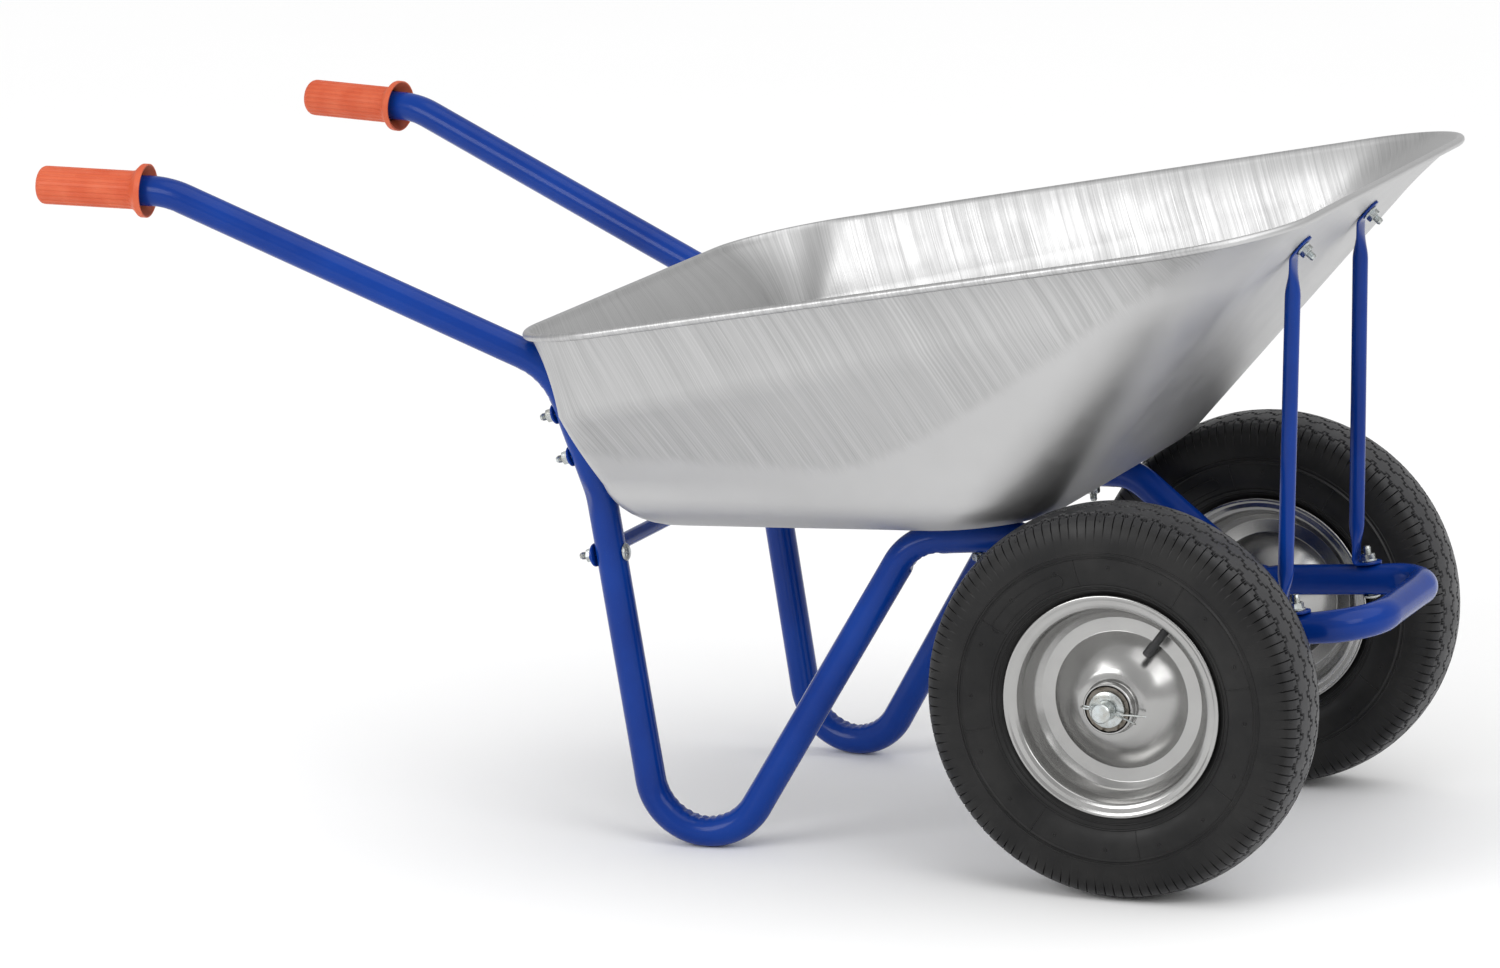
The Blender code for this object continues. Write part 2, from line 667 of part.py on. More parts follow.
def build_axle(materials):
    middle = Vector((AXLE_X, 0.0, WHEEL_RADIUS))
    chamfer = 0.0015
    profile = [
        (0.0, -AXLE_HALF_LENGTH), (AXLE_RADIUS - chamfer, -AXLE_HALF_LENGTH),
        (AXLE_RADIUS, chamfer - AXLE_HALF_LENGTH), (AXLE_RADIUS, AXLE_HALF_LENGTH - chamfer),
        (AXLE_RADIUS - chamfer, AXLE_HALF_LENGTH), (0.0, AXLE_HALF_LENGTH),
    ]
    axle = solid_of_revolution(
        "axle", profile, middle, Vector((0.0, 1.0, 0.0)), HUB_FACETS, materials["zinc_plate"]
    )
    holes = []
    for side in SIDES.values():
        holes.append((middle + Vector((0.0, side * COTTER_Y, 0.0)), COTTER_WAY, 0.02))
    cut_holes(axle, holes, COTTER_HOLE_RADIUS)


def build_cotters(materials):
    """Split pins: one wire from leg tip, round the eye, back to the other leg tip."""
    wire = 0.0009
    spacing = 0.00105
    upright = Vector((-COTTER_WAY.z, 0.0, COTTER_WAY.x))
    for side_name, side in SIDES.items():
        centre = Vector((AXLE_X, side * COTTER_Y, WHEEL_RADIUS))
        half = [(0.0390, 0.0150), (0.0240, 0.0070), (0.0130, spacing), (-0.0120, spacing)]
        half += [(-0.0150, 0.0034), (-0.0190, 0.0042), (-0.0225, 0.0026), (-0.0236, 0.0)]
        outline = half + [(along, -up) for along, up in half[-2::-1]]
        path = [centre + COTTER_WAY * along + upright * up for along, up in outline]
        tangents = path_tangents(path)
        across = Vector((0.0, 1.0, 0.0))
        rings = [round_ring(p, t, across, wire, 6) for p, t in zip(path, tangents)]
        builder = bmesh.new()
        made = bridge_rings(builder, rings, closed_path=False)
        builder.faces.new(made[0])
        builder.faces.new(made[-1])
        make_object(f"cotter_pin_{side_name}", finish_builder(builder), materials["zinc_plate"])


def build_axle_brackets(materials):
    """U-shaped hangers: the tube lies between their flanks and the axle runs below it."""
    plate = 0.003
    half_inside = TUBE_RADIUS + 2.0 * GAP
    half_length = 0.017
    bottom = WHEEL_RADIUS - AXLE_RADIUS - 0.0040
    top = AXLE_DIP.z + 0.0020
    for side_name, side in SIDES.items():
        outline = [
            (-half_inside - plate, top), (-half_inside - plate, bottom - plate),
            (half_inside + plate, bottom - plate), (half_inside + plate, top),
            (half_inside, top), (half_inside, bottom), (-half_inside, bottom),
            (-half_inside, top),
        ]
        run = place(LOOP_CORNER, side) - place(AXLE_DIP, side)
        yaw = Matrix.Rotation(atan2(run.y, run.x), 4, "Z")
        axle_share = -AXLE_DIP.x / (LOOP_CORNER.x - AXLE_DIP.x)
        over_axle = place(on_run(AXLE_DIP, LOOP_CORNER, axle_share), side)
        base = Vector((over_axle.x, over_axle.y, 0.0))
        rings = []
        for x in (-half_length, half_length):
            rings.append([base + yaw @ Vector((x, y, z)) for y, z in outline])
        builder = bmesh.new()
        made = bridge_rings(builder, rings, closed_path=False)
        builder.faces.new(made[0])
        builder.faces.new(made[-1])
        bracket = make_object(
            f"axle_bracket_{side_name}", finish_builder(builder), materials["blue_paint"]
        )
        hole = (Vector((over_axle.x, over_axle.y, WHEEL_RADIUS)), Vector((0.0, 1.0, 0.0)), 0.04)
        cut_holes(bracket, [hole], (AXLE_RADIUS + GAP) / cos(pi / HOLE_FACETS))


def disc_outline():
    """Middle line of one pressed wheel half: lip, flange, bead seat, flat ring, dome."""
    return [
        (0.1128, 0.0365), (0.1088, 0.0350), (0.1040, 0.0345), (0.1003, 0.0325),
        (0.0985, 0.0180), (0.0920, 0.0070), (0.0845, 0.0013), (0.0700, 0.0013),
        (0.0620, 0.0070), (0.0470, 0.0200), (0.0350, 0.0280), (0.0269, 0.0290),
    ]


def tyre_profile():
    """Section of the tyre, open towards the wheel between its two beads."""
    outside = [
        (0.1030, 0.0220), (0.1030, 0.0312), (0.1060, 0.0330), (0.1145, 0.0332), (0.1270, 0.0428),
        (0.1500, 0.0474), (0.1730, 0.0455), (0.1890, 0.0400), (0.1965, 0.0290), (0.2000, 0.0110),
    ]
    inside = [
        (0.1880, 0.0150), (0.1800, 0.0320), (0.1550, 0.0425), (0.1300, 0.0375), (0.1130, 0.0225),
    ]
    mirrored_outside = [(radius, -offset) for radius, offset in reversed(outside)]
    mirrored_inside = [(radius, -offset) for radius, offset in reversed(inside)]
    return outside + mirrored_outside + mirrored_inside + inside


def valve_point(side, spot):
    radius, outward = spot
    spoke = Vector((cos(VALVE_ANGLE), 0.0, sin(VALVE_ANGLE)))
    return wheel_centre(side) + spoke * radius + Vector((0.0, side * outward, 0.0))


def build_inner_tube(name, side, materials):
    """A ring of rubber tube with a hole where the valve joins it."""
    ring_radius = 0.1485
    section_radius = 0.0360
    wall = 0.0025
    segments = 16
    points = 6
    centre = wheel_centre(side)
    builder = bmesh.new()
    for radius, reverse in ((section_radius, False), (section_radius - wall, True)):
        rings = []
        for index in range(segments):
            turn = 2.0 * pi * index / segments
            spoke = Vector((cos(turn), 0.0, sin(turn)))
            ring = []
            for step in range(points):
                angle = 2.0 * pi * step / points
                outward = Vector((0.0, radius * sin(angle), 0.0))
                ring.append(centre + spoke * (ring_radius + radius * cos(angle)) + outward)
            rings.append(ring)
        first_face = len(builder.faces)
        bridge_rings(builder, rings, closed_path=True)
        builder.faces.ensure_lookup_table()
        faces = builder.faces[first_face:]
        bmesh.ops.recalc_face_normals(builder, faces=faces)
        if reverse:
            bmesh.ops.reverse_faces(builder, faces=faces)
    tube = make_object(name, builder, materials["tube_rubber"])
    foot = valve_point(side, VALVE_FOOT)
    spoke = Vector((cos(VALVE_ANGLE), 0.0, sin(VALVE_ANGLE)))
    cut_holes(tube, [(foot, spoke, 0.018)], 0.0030)


def build_wheel(side_name, side, materials):
    centre = wheel_centre(side)
    outward = Vector((0.0, side, 0.0))
    steel = materials["rim_steel"]
    turned(f"tyre_{side_name}", tyre_profile(), centre, outward, 28, materials["tyre_rubber"])
    build_inner_tube(f"inner_tube_{side_name}", side, materials)

    middle_line = disc_outline()
    half_thickness = 0.0008
    section = offset_outline(middle_line, half_thickness)
    section += offset_outline(middle_line, -half_thickness)[::-1]
    outer_disc = turned(f"rim_outer_{side_name}", section, centre, outward, HUB_FACETS, steel)
    turned(f"rim_inner_{side_name}", section, centre, -outward, HUB_FACETS, steel)

    foot = valve_point(side, VALVE_FOOT)
    tip = valve_point(side, VALVE_TIP)
    stem_way = (tip - foot).normalized()
    cut_holes(outer_disc, [(foot.lerp(tip, 0.4), stem_way, 0.016)], VALVE_RADIUS + 2.0 * GAP)
    reach = (tip - foot).length
    stem_profile = [
        (0.0, 0.0), (VALVE_RADIUS, 0.0), (VALVE_RADIUS, 0.72 * reach),
        (0.85 * VALVE_RADIUS, 0.74 * reach), (VALVE_RADIUS, 0.76 * reach),
        (VALVE_RADIUS, 0.97 * reach), (0.7 * VALVE_RADIUS, reach), (0.0, reach),
    ]
    solid_of_revolution(
        f"valve_stem_{side_name}", stem_profile, foot, stem_way, 8, materials["tube_rubber"]
    )

    hub_radius = 0.0260
    hub_bore = 0.0236
    hub_half = 0.0435
    hub_profile = [
        (hub_bore, -hub_half), (hub_radius, -hub_half), (hub_radius, hub_half), (hub_bore, hub_half),
    ]
    turned(f"hub_tube_{side_name}", hub_profile, centre, outward, HUB_FACETS, steel)
    facet_share = cos(pi / HUB_FACETS)
    bearing_width = 0.014
    bearing_bore = (AXLE_RADIUS + RUNNING_CLEARANCE) / facet_share
    bearing_radius = hub_bore * facet_share - GAP
    for place_name, facing in (("outer", outward), ("inner", -outward)):
        seat = centre + facing * (hub_half - bearing_width - 0.0002)
        flat_washer(
            f"bearing_{place_name}_{side_name}", seat, facing, bearing_bore,
            bearing_radius, bearing_width, HUB_FACETS, materials["bearing_steel"],
        )
    washer_bore = (AXLE_RADIUS + GAP) / facet_share
    washer_seat = centre + outward * (hub_half + GAP)
    flat_washer(
        f"axle_washer_{side_name}", washer_seat, outward, washer_bore, 0.0185,
        0.0030, HUB_FACETS, materials["zinc_plate"],
    )
    sleeve_outer = WHEEL_Y - hub_half - GAP
    sleeve_inner = 0.1635
    sleeve_seat = Vector((AXLE_X, side * sleeve_inner, WHEEL_RADIUS))
    flat_washer(
        f"axle_sleeve_{side_name}", sleeve_seat, outward, washer_bore, 0.0130,
        sleeve_outer - sleeve_inner, HUB_FACETS, materials["zinc_plate"],
    )


# ---- the whole barrow ---------------------------------------------------------------
def main():
    for old in list(bpy.data.objects):
        bpy.data.objects.remove(old, do_unlink=True)
    materials = make_materials()
    build_frame(materials)
    build_brace(materials)
    build_struts(materials)
    build_tray(materials)
    build_frame_fasteners(materials)
    build_grips(materials)
    build_axle(materials)
    build_cotters(materials)
    build_axle_brackets(materials)
    for side_name, side in SIDES.items():
        build_wheel(side_name, side, materials)


main()
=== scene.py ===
"""Looks of a two-wheeled barrow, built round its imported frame.

One bent blue tube carries a pressed galvanised tray, and two pneumatic wheels turn on a
fixed axle. Metres, +X towards the tray's front lip, +Y to the left, +Z up.
"""

import json
import logging
import math
from collections.abc import Callable, Sequence
from dataclasses import dataclass, field
from enum import Enum

import bpy
from mathutils import Matrix, Vector, noise

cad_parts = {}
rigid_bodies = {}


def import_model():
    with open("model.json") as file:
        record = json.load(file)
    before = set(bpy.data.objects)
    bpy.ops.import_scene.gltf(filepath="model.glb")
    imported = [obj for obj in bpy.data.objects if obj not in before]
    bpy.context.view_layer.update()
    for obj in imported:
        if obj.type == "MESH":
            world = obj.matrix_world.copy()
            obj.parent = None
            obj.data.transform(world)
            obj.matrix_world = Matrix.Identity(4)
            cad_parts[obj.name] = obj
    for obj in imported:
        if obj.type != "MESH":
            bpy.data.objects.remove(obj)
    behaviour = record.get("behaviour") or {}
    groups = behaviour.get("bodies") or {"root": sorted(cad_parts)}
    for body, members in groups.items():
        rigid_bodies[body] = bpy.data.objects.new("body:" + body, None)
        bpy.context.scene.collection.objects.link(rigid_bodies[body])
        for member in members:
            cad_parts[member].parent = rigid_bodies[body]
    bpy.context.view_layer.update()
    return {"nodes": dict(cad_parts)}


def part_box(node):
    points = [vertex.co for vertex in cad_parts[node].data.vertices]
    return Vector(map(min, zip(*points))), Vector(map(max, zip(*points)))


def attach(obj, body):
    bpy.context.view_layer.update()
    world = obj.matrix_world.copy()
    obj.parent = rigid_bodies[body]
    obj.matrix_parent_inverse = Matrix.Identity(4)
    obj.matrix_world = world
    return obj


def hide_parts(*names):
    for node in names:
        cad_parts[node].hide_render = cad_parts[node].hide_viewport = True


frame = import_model()
LOG = logging.getLogger("barrow")

Outline = list[tuple[float, float]]
PlaceAt = Callable[[int, int], Vector]
ReachAt = Callable[[int, float], tuple[float, float]]
Colour = tuple[float, float, float, float]
FULL_TURN = 2.0 * math.pi
MIDDLE_NOISE = (0.3, 0.7)        # the range that most of a noise texture lies in
UP = Vector((0.0, 0.0, 1.0))
LEFTWARD = Vector((0.0, 1.0, 0.0))
FORWARD = Vector((1.0, 0.0, 0.0))


class Side(Enum):
    """The two sides of the barrow, by the sign of Y."""

    RIGHT = -1.0
    LEFT = 1.0

    @property
    def label(self) -> str:
        """The word used in piece names."""
        return self.name.lower()

    @property
    def wheel_body(self) -> str:
        """The moving body that this side's wheel rides on."""
        return f"wheel_{self.label}"


class Slot(Enum):
    """Material slots of the record."""

    PAINT = "blue_paint"
    SHEET = "galvanised"
    ZINC = "zinc_plate"
    RIM = "rim_steel"
    TYRE = "tyre_rubber"
    TUBE = "tube_rubber"
    GRIP = "orange_plastic"
    BEARING = "bearing_steel"


def middle_of(node: str) -> Vector:
    """The middle of a CAD node's box.

    Args:
        node: the node's name.

    Returns:
        The point half way between its lowest and highest corners.
    """
    low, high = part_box(node)
    return (low + high) / 2.0


AXLE = middle_of("axle")


def at(point: Vector, side: Side = Side.LEFT) -> Vector:
    """A point given from the axle (forward, outward, up) as a point of the barrow.

    Args:
        point: forward of the axle, outward from the middle, and up from the ground.
        side: the side that the point lies on.

    Returns:
        The point in the barrow's own frame.
    """
    return Vector((AXLE.x + point.x, side.value * point.y, point.z))


def held(share: float) -> float:
    """A share, held between nought and one."""
    return min(1.0, max(0.0, share))


def eased(share: float) -> float:
    """A share of a change that starts and ends gently."""
    return share * share * (3.0 - 2.0 * share)


def spoke_at(turn: float) -> Vector:
    """The direction from the axle at an angle, from forward towards up."""
    return FORWARD * math.cos(turn) + UP * math.sin(turn)


# ---- the bench: modelling steps that every piece shares --------------------------------
def clear_bench() -> None:
    """Leave edit mode and deselect everything."""
    if bpy.context.object and bpy.context.object.mode != "OBJECT":
        bpy.ops.object.mode_set(mode="OBJECT")
    bpy.ops.object.select_all(action="DESELECT")


def label(name: str) -> bpy.types.Object:
    """Name the piece that was just added.

    Args:
        name: the piece's name.

    Returns:
        The piece.
    """
    piece = bpy.context.object
    piece.name = name
    piece.data.name = name
    return piece


def take(piece: bpy.types.Object) -> None:
    """Make a piece the only selected one, and the active one.

    Args:
        piece: the piece to work on.
    """
    clear_bench()
    piece.select_set(True)
    bpy.context.view_layer.objects.active = piece


def close_up(piece: bpy.types.Object, merge: float = 2e-6) -> None:
    """Merge a mesh where its edges meet, drop loose ends and face it outwards.

    Args:
        piece: the piece to close.
        merge: how close two points are to be one.
    """
    take(piece)
    bpy.ops.object.mode_set(mode="EDIT")
    bpy.ops.mesh.select_all(action="SELECT")
    bpy.ops.mesh.remove_doubles(threshold=merge)
    bpy.ops.mesh.delete_loose(use_verts=True, use_edges=True, use_faces=False)
    bpy.ops.mesh.select_all(action="SELECT")
    bpy.ops.mesh.normals_make_consistent(inside=False)
    bpy.ops.object.mode_set(mode="OBJECT")


def soften(piece: bpy.types.Object, degrees: float = 32.0) -> None:
    """Shade a piece smooth, and keep edges sharper than an angle.

    Args:
        piece: the piece to shade.
        degrees: the angle from which an edge stays sharp.
    """
    take(piece)
    bpy.ops.object.shade_smooth_by_angle(angle=math.radians(degrees))
    bpy.ops.object.select_all(action="DESELECT")


def shaped_grid(
    name: str,
    rows: int,
    columns: int,
    place: PlaceAt,
    unwrap: Callable[[int, int], tuple[float, float]] | None = None,
    measure: tuple[str, Callable[[Vector], float]] | None = None,
) -> bpy.types.Object:
    """Lay a grid primitive along a shape, row by row, and merge it where its edges meet.

    Args:
        name: the piece's name.
        rows: steps from the first row of points to the last.
        columns: steps along each row.
        place: gives the point of a row and column.
        unwrap: gives the UV point of a row and column, in metres.
        measure: an attribute's name, and what it holds at a point.

    Returns:
        The closed piece.
    """
    clear_bench()
    bpy.ops.mesh.primitive_grid_add(x_subdivisions=columns, y_subdivisions=rows, size=1.0)
    piece = label(name)
    mesh = piece.data
    if unwrap:
        for loop_uv in mesh.uv_layers.active.data:
            column = round(loop_uv.uv.x * columns)
            row = round(loop_uv.uv.y * rows)
            loop_uv.uv = unwrap(row, column)
    for vertex in mesh.vertices:
        column = round((vertex.co.x + 0.5) * columns)
        row = round((vertex.co.y + 0.5) * rows)
        vertex.co = place(row, column)
    if measure:
        attribute_name, value_at = measure
        layer = mesh.attributes.new(attribute_name, "FLOAT", "POINT")
        for vertex, cell in zip(mesh.vertices, layer.data):
            cell.value = value_at(vertex.co)
    close_up(piece)
    return piece


def spoke_ways(axis: Vector) -> tuple[Vector, Vector]:
    """Two directions square to an axis and to each other.

    Args:
        axis: the axis.

    Returns:
        The direction at angle nought, and the one a quarter turn on.
    """
    along = axis.normalized()
    if abs(along.y) > 0.9:
        first = FORWARD.copy()
    else:
        first = along.cross(LEFTWARD).normalized()
    return first, along.cross(first).normalized()


def turned(
    name: str, outline: Outline, centre: Vector, axis: Vector, steps: int = 48
) -> bpy.types.Object:
    """Spin a closed outline about an axis.

    Args:
        name: the piece's name.
        outline: points of (radius, distance along the axis), closed by its last side.
        centre: the point that distances along the axis start from.
        axis: the axis to spin about.
        steps: facets in a full turn.

    Returns:
        The turned piece.
    """
    clear_bench()
    bpy.ops.mesh.primitive_circle_add(vertices=len(outline), radius=1.0, fill_type="NOTHING")
    piece = label(name)
    along = axis.normalized()
    first, _ = spoke_ways(axis)
    for vertex, (radius, distance) in zip(piece.data.vertices, outline):
        vertex.co = centre + first * radius + along * distance
    bpy.ops.object.mode_set(mode="EDIT")
    bpy.ops.mesh.select_all(action="SELECT")
    bpy.ops.mesh.spin(steps=steps, angle=FULL_TURN, center=centre, axis=along)
    bpy.ops.object.mode_set(mode="OBJECT")
    close_up(piece)
    return piece


def polar_piece(
    name: str,
    outline: Outline,
    centre: Vector,
    axis: Vector,
    steps: int,
    radius_at: Callable[[int, float], float],
) -> bpy.types.Object:
    """A turned shape whose radius also changes round the turn.

    Args:
        name: the piece's name.
        outline: points of (radius, distance along the axis), closed by its last side.
        centre: the point that distances along the axis start from.
        axis: the axis of the turn.
        steps: facets in a full turn.
        radius_at: gives the radius of an outline point at an angle.

    Returns:
        The closed piece.
    """
    along = axis.normalized()
    first, second = spoke_ways(axis)
    count = len(outline)

    def place(row: int, column: int) -> Vector:
        """The place of one point of the turned grid."""
        index = row % count
        angle = FULL_TURN * (column % steps) / steps
        spoke = first * math.cos(angle) + second * math.sin(angle)
        return centre + spoke * radius_at(index, angle) + along * outline[index][1]

    return shaped_grid(name, count, steps, place)


def rounded_line(
    corners: Sequence[Vector], radii: Sequence[float], degrees: float = 6.0
) -> list[Vector]:
    """A line with an arc in place of each inner corner.

    Args:
        corners: the line's corners, its two ends among them.
        radii: one radius for each inner corner.
        degrees: the turn that each step of an arc makes.

    Returns:
        The points of the line.
    """
    line = [corners[0].copy()]
    for corner, before, after, radius in zip(corners[1:-1], corners, corners[2:], radii):
        to_before = (before - corner).normalized()
        to_after = (after - corner).normalized()
        half = to_before.angle(to_after) / 2.0
        centre = corner + (to_before + to_after).normalized() * (radius / math.sin(half))
        first = (corner + to_before * (radius / math.tan(half)) - centre).normalized()
        last = (corner + to_after * (radius / math.tan(half)) - centre).normalized()
        sweep = first.angle(last)
        steps = max(2, round(math.degrees(sweep) / degrees))
        for step in range(steps + 1):
            turn = sweep * step / steps
            way = first * math.sin(sweep - turn) + last * math.sin(turn)
            line.append(centre + way * (radius / math.sin(sweep)))
    line.append(corners[-1].copy())
    return line


def rounded_outline(points: Outline, radii: Sequence[float], degrees: float = 15.0) -> Outline:
    """An open outline with its inner corners rounded.

    Args:
        points: the outline's corners as (radius, distance).
        radii: one radius for each inner corner.
        degrees: the turn that each step of an arc makes.

    Returns:
        The rounded outline.
    """
    corners = [Vector((across, along, 0.0)) for across, along in points]
    return [(point.x, point.y) for point in rounded_line(corners, radii, degrees)]


def thickened(middle: Outline, half: float) -> Outline:
    """A closed outline round an open one, a given distance from it on both sides.

    Args:
        middle: the open outline.
        half: half the thickness.

    Returns:
        The closed outline.
    """
    sides: list[Outline] = [[], []]
    for index, (across, along) in enumerate(middle):
        before = middle[max(index - 1, 0)]
        after = middle[min(index + 1, len(middle) - 1)]
        run = Vector((after[0] - before[0], after[1] - before[1])).normalized()
        sides[0].append((across - run.y * half, along + run.x * half))
        sides[1].append((across + run.y * half, along - run.x * half))
    return sides[0] + sides[1][::-1]


def smooth_line(points: Outline, steps: int) -> Outline:
    """A smooth curve through an outline's points.

    Args:
        points: the points that the curve passes through.
        steps: steps between each two of them.

    Returns:
        The curve's points.
    """
    ends = [points[0], *points, points[-1]]
    curve: Outline = []
    for index in range(1, len(ends) - 2):
        a, b, c, d = (Vector(p) for p in ends[index - 1:index + 3])
        for step in range(steps):
            t = step / steps
            point = 0.5 * (
                2.0 * b + (c - a) * t + (2.0 * a - 5.0 * b + 4.0 * c - d) * t ** 2
                + (3.0 * b - a - 3.0 * c + d) * t ** 3
            )
            curve.append((point.x, point.y))
    curve.append(points[-1])
    return curve


@dataclass
class Station:
    """One place along a swept piece: its middle, and the two directions across it."""

    middle: Vector
    across: Vector
    other: Vector


def stations_along(line: Sequence[Vector], reference: Vector) -> list[Station]:
    """Stations on a line, whose directions are carried along it without twist.

    Args:
        line: the middle line.
        reference: the direction that the first station's across points in.

    Returns:
        One station for each point of the line.
    """
    made = []
    current = reference
    for index, middle in enumerate(line):
        before = line[max(index - 1, 0)]
        after = line[min(index + 1, len(line) - 1)]
        tangent = (after - before).normalized()
        current = (current - tangent * current.dot(tangent)).normalized()
        made.append(Station(middle, current, tangent.cross(current)))
    return made


def swept(
    name: str,
    stations: Sequence[Station],
    reach_at: ReachAt,
    sides: int,
) -> bpy.types.Object:
    """A solid bar along stations, closed at both ends.

    Args:
        name: the piece's name.
        stations: the places along the piece.
        reach_at: gives how far the skin is along the across and other directions, for a
            station and an angle.
        sides: points round each station.

    Returns:
        The closed piece.
    """
    last = len(stations) + 1

    def place(row: int, column: int) -> Vector:
        """The place of one point of the swept grid."""
        if row in (0, last):
            return stations[0 if row == 0 else -1].middle
        station = stations[row - 1]
        across, other = reach_at(row - 1, FULL_TURN * (column % sides) / sides)
        return station.middle + station.across * across + station.other * other

    return shaped_grid(name, last, sides, place)


def round_bar(radius: float) -> ReachAt:
    """The reach of a round bar's skin."""
    return lambda _, angle: (radius * math.cos(angle), radius * math.sin(angle))


def ring_outline(bore: float, outer: float, thick: float, ease: float) -> Outline:
    """The outline of a flat ring with an eased outer edge.

    Args:
        bore: its inner radius.
        outer: its outer radius.
        thick: its thickness.
        ease: how much of the edge is taken off.

    Returns:
        The closed outline.
    """
    return [
        (bore, 0.0), (outer - ease, 0.0), (outer, ease), (outer, thick - ease),
        (outer - ease, thick), (bore, thick),
    ]


def evened(line: Sequence[Vector], longest: float) -> list[Vector]:
    """A line with points added, so that no step is longer than a length.

    Args:
        line: the line's points.
        longest: the longest step that may stay.

    Returns:
        The points of the evened line.
    """
    made = [line[0]]
    for start, end in zip(line, line[1:]):
        parts = max(1, math.ceil((end - start).length / longest))
        made += [start.lerp(end, part / parts) for part in range(1, parts + 1)]
    return made


def joined(name: str, pieces: Sequence[bpy.types.Object]) -> bpy.types.Object:
    """Join pieces into one.

    Args:
        name: the joined piece's name.
        pieces: the pieces, of which the first one keeps its materials first.

    Returns:
        The joined piece.
    """
    take(pieces[0])
    for piece in pieces:
        piece.select_set(True)
    bpy.ops.object.join()
    return label(name)


# ---- finishes -----------------------------------------------------------------------
class Board:
    """A material's nodes, with short ways to add them."""

    def __init__(self, name: str) -> None:
        """Start a material with its Principled shader.

        Args:
            name: the material's name.
        """
        self.material = bpy.data.materials.new(name)
        self.material.use_nodes = True
        self.nodes = self.material.node_tree.nodes
        self.links = self.material.node_tree.links
        self.shader = self.nodes["Principled BSDF"]
        self.spot = self.place()

    def feed(self, socket: bpy.types.NodeSocket, value: object) -> None:
        """Link an output to a socket, or set the socket's value.

        Args:
            socket: the socket.
            value: the output, or the value.
        """
        if isinstance(value, bpy.types.NodeSocket):
            self.links.new(value, socket)
        else:
            socket.default_value = value

    def put(self, kind: str, sockets: dict[object, object], **settings: object) -> bpy.types.Node:
        """Add a node.

        Args:
            kind: the node's type, without its common prefix.
            sockets: values or links for its inputs, by name or number.
            settings: the node's own properties.

        Returns:
            The node.
        """
        node = self.nodes.new(f"ShaderNode{kind}")
        for name, value in settings.items():
            setattr(node, name, value)
        for name, value in sockets.items():
            self.feed(node.inputs[name], value)
        return node

    def dress(self, **sockets: object) -> None:
        """Set the shader's inputs, with _ for each space in a name."""
        for name, value in sockets.items():
            self.feed(self.shader.inputs[name.replace("_", " ")], value)

    def place(self, shift: Sequence[float] = (0.0, 0.0, 0.0)) -> bpy.types.NodeSocket:
        """Object coordinates, shifted."""
        source = self.put("TexCoord", {}).outputs["Object"]
        return self.put("Mapping", {"Vector": source, "Location": shift}).outputs["Vector"]

    def unwrapped(self, scale: Sequence[float]) -> bpy.types.NodeSocket:
        """The UV map, scaled on each axis."""
        source = self.put("UVMap", {}, uv_map="UVMap").outputs["UV"]
        return self.put("Mapping", {"Vector": source, "Scale": scale}).outputs["Vector"]

    def grain(
        self, vector: bpy.types.NodeSocket, scale: float, detail: float = 3.0, rough: float = 0.5
    ) -> bpy.types.NodeSocket:
        """Noise on a vector.

        Args:
            vector: the coordinates.
            scale: features to the metre.
            detail: octaves.
            rough: how strong the fine octaves are.

        Returns:
            The noise, from nought to one.
        """
        sockets = {"Vector": vector, "Scale": scale, "Detail": detail, "Roughness": rough}
        return self.put("TexNoise", sockets).outputs["Fac"]

    def remap(
        self,
        value: bpy.types.NodeSocket,
        low: float,
        high: float,
        to_low: float = 0.0,
        to_high: float = 1.0,
    ) -> bpy.types.NodeSocket:
        """A value moved from one range to another, and held inside it.

        Args:
            value: the value.
            low: the first range's low end.
            high: its high end.
            to_low: the second range's low end.
            to_high: its high end.

        Returns:
            The moved value.
        """
        sockets = {
            "Value": value, "From Min": low, "From Max": high,
            "To Min": to_low, "To Max": to_high,
        }
        return self.put("MapRange", sockets).outputs["Result"]

    def cloud(
        self, scale: float, detail: float, *limits: float, rough: float = 0.5
    ) -> bpy.types.NodeSocket:
        """Noise on the piece, spread over a range.

        Args:
            scale: features to the metre.
            detail: octaves.
            limits: the ends of the noise's range, and of the range that it is moved to.
            rough: how strong the fine octaves are.

        Returns:
            The moved noise.
        """
        return self.remap(self.grain(self.spot, scale, detail, rough), *limits)

    def uneven(self, scale: float, detail: float, least: float, most: float) -> bpy.types.NodeSocket:
        """Noise on the piece between two values, for roughness."""
        return self.cloud(scale, detail, *MIDDLE_NOISE, least, most)

    def sum(self, first: object, second: object) -> bpy.types.NodeSocket:
        """Two values added."""
        return self.maths("ADD", first, second)

    def product(self, first: object, second: object) -> bpy.types.NodeSocket:
        """Two values multiplied."""
        return self.maths("MULTIPLY", first, second)

    def maths(self, operation: str, first: object, second: object = 0.0) -> bpy.types.NodeSocket:
        """One sum on two values."""
        return self.put("Math", {0: first, 1: second}, operation=operation).outputs[0]

    def blend(self, share: object, first: object, second: object) -> bpy.types.NodeSocket:
        """A mix of two colours."""
        return self.put("Mix", {0: share, 6: first, 7: second}, data_type="RGBA").outputs[2]

    def from_axle(self) -> bpy.types.NodeSocket:
        """The distance from the axle's line.

        Returns:
            The distance, in metres.
        """
        parts = self.put("SeparateXYZ", {"Vector": self.place((-AXLE.x, 0.0, -AXLE.z))})
        squares = [
            self.maths("POWER", self.maths("ABSOLUTE", parts.outputs[way]), 2.0) for way in "XZ"
        ]
        return self.maths("SQRT", self.sum(*squares))

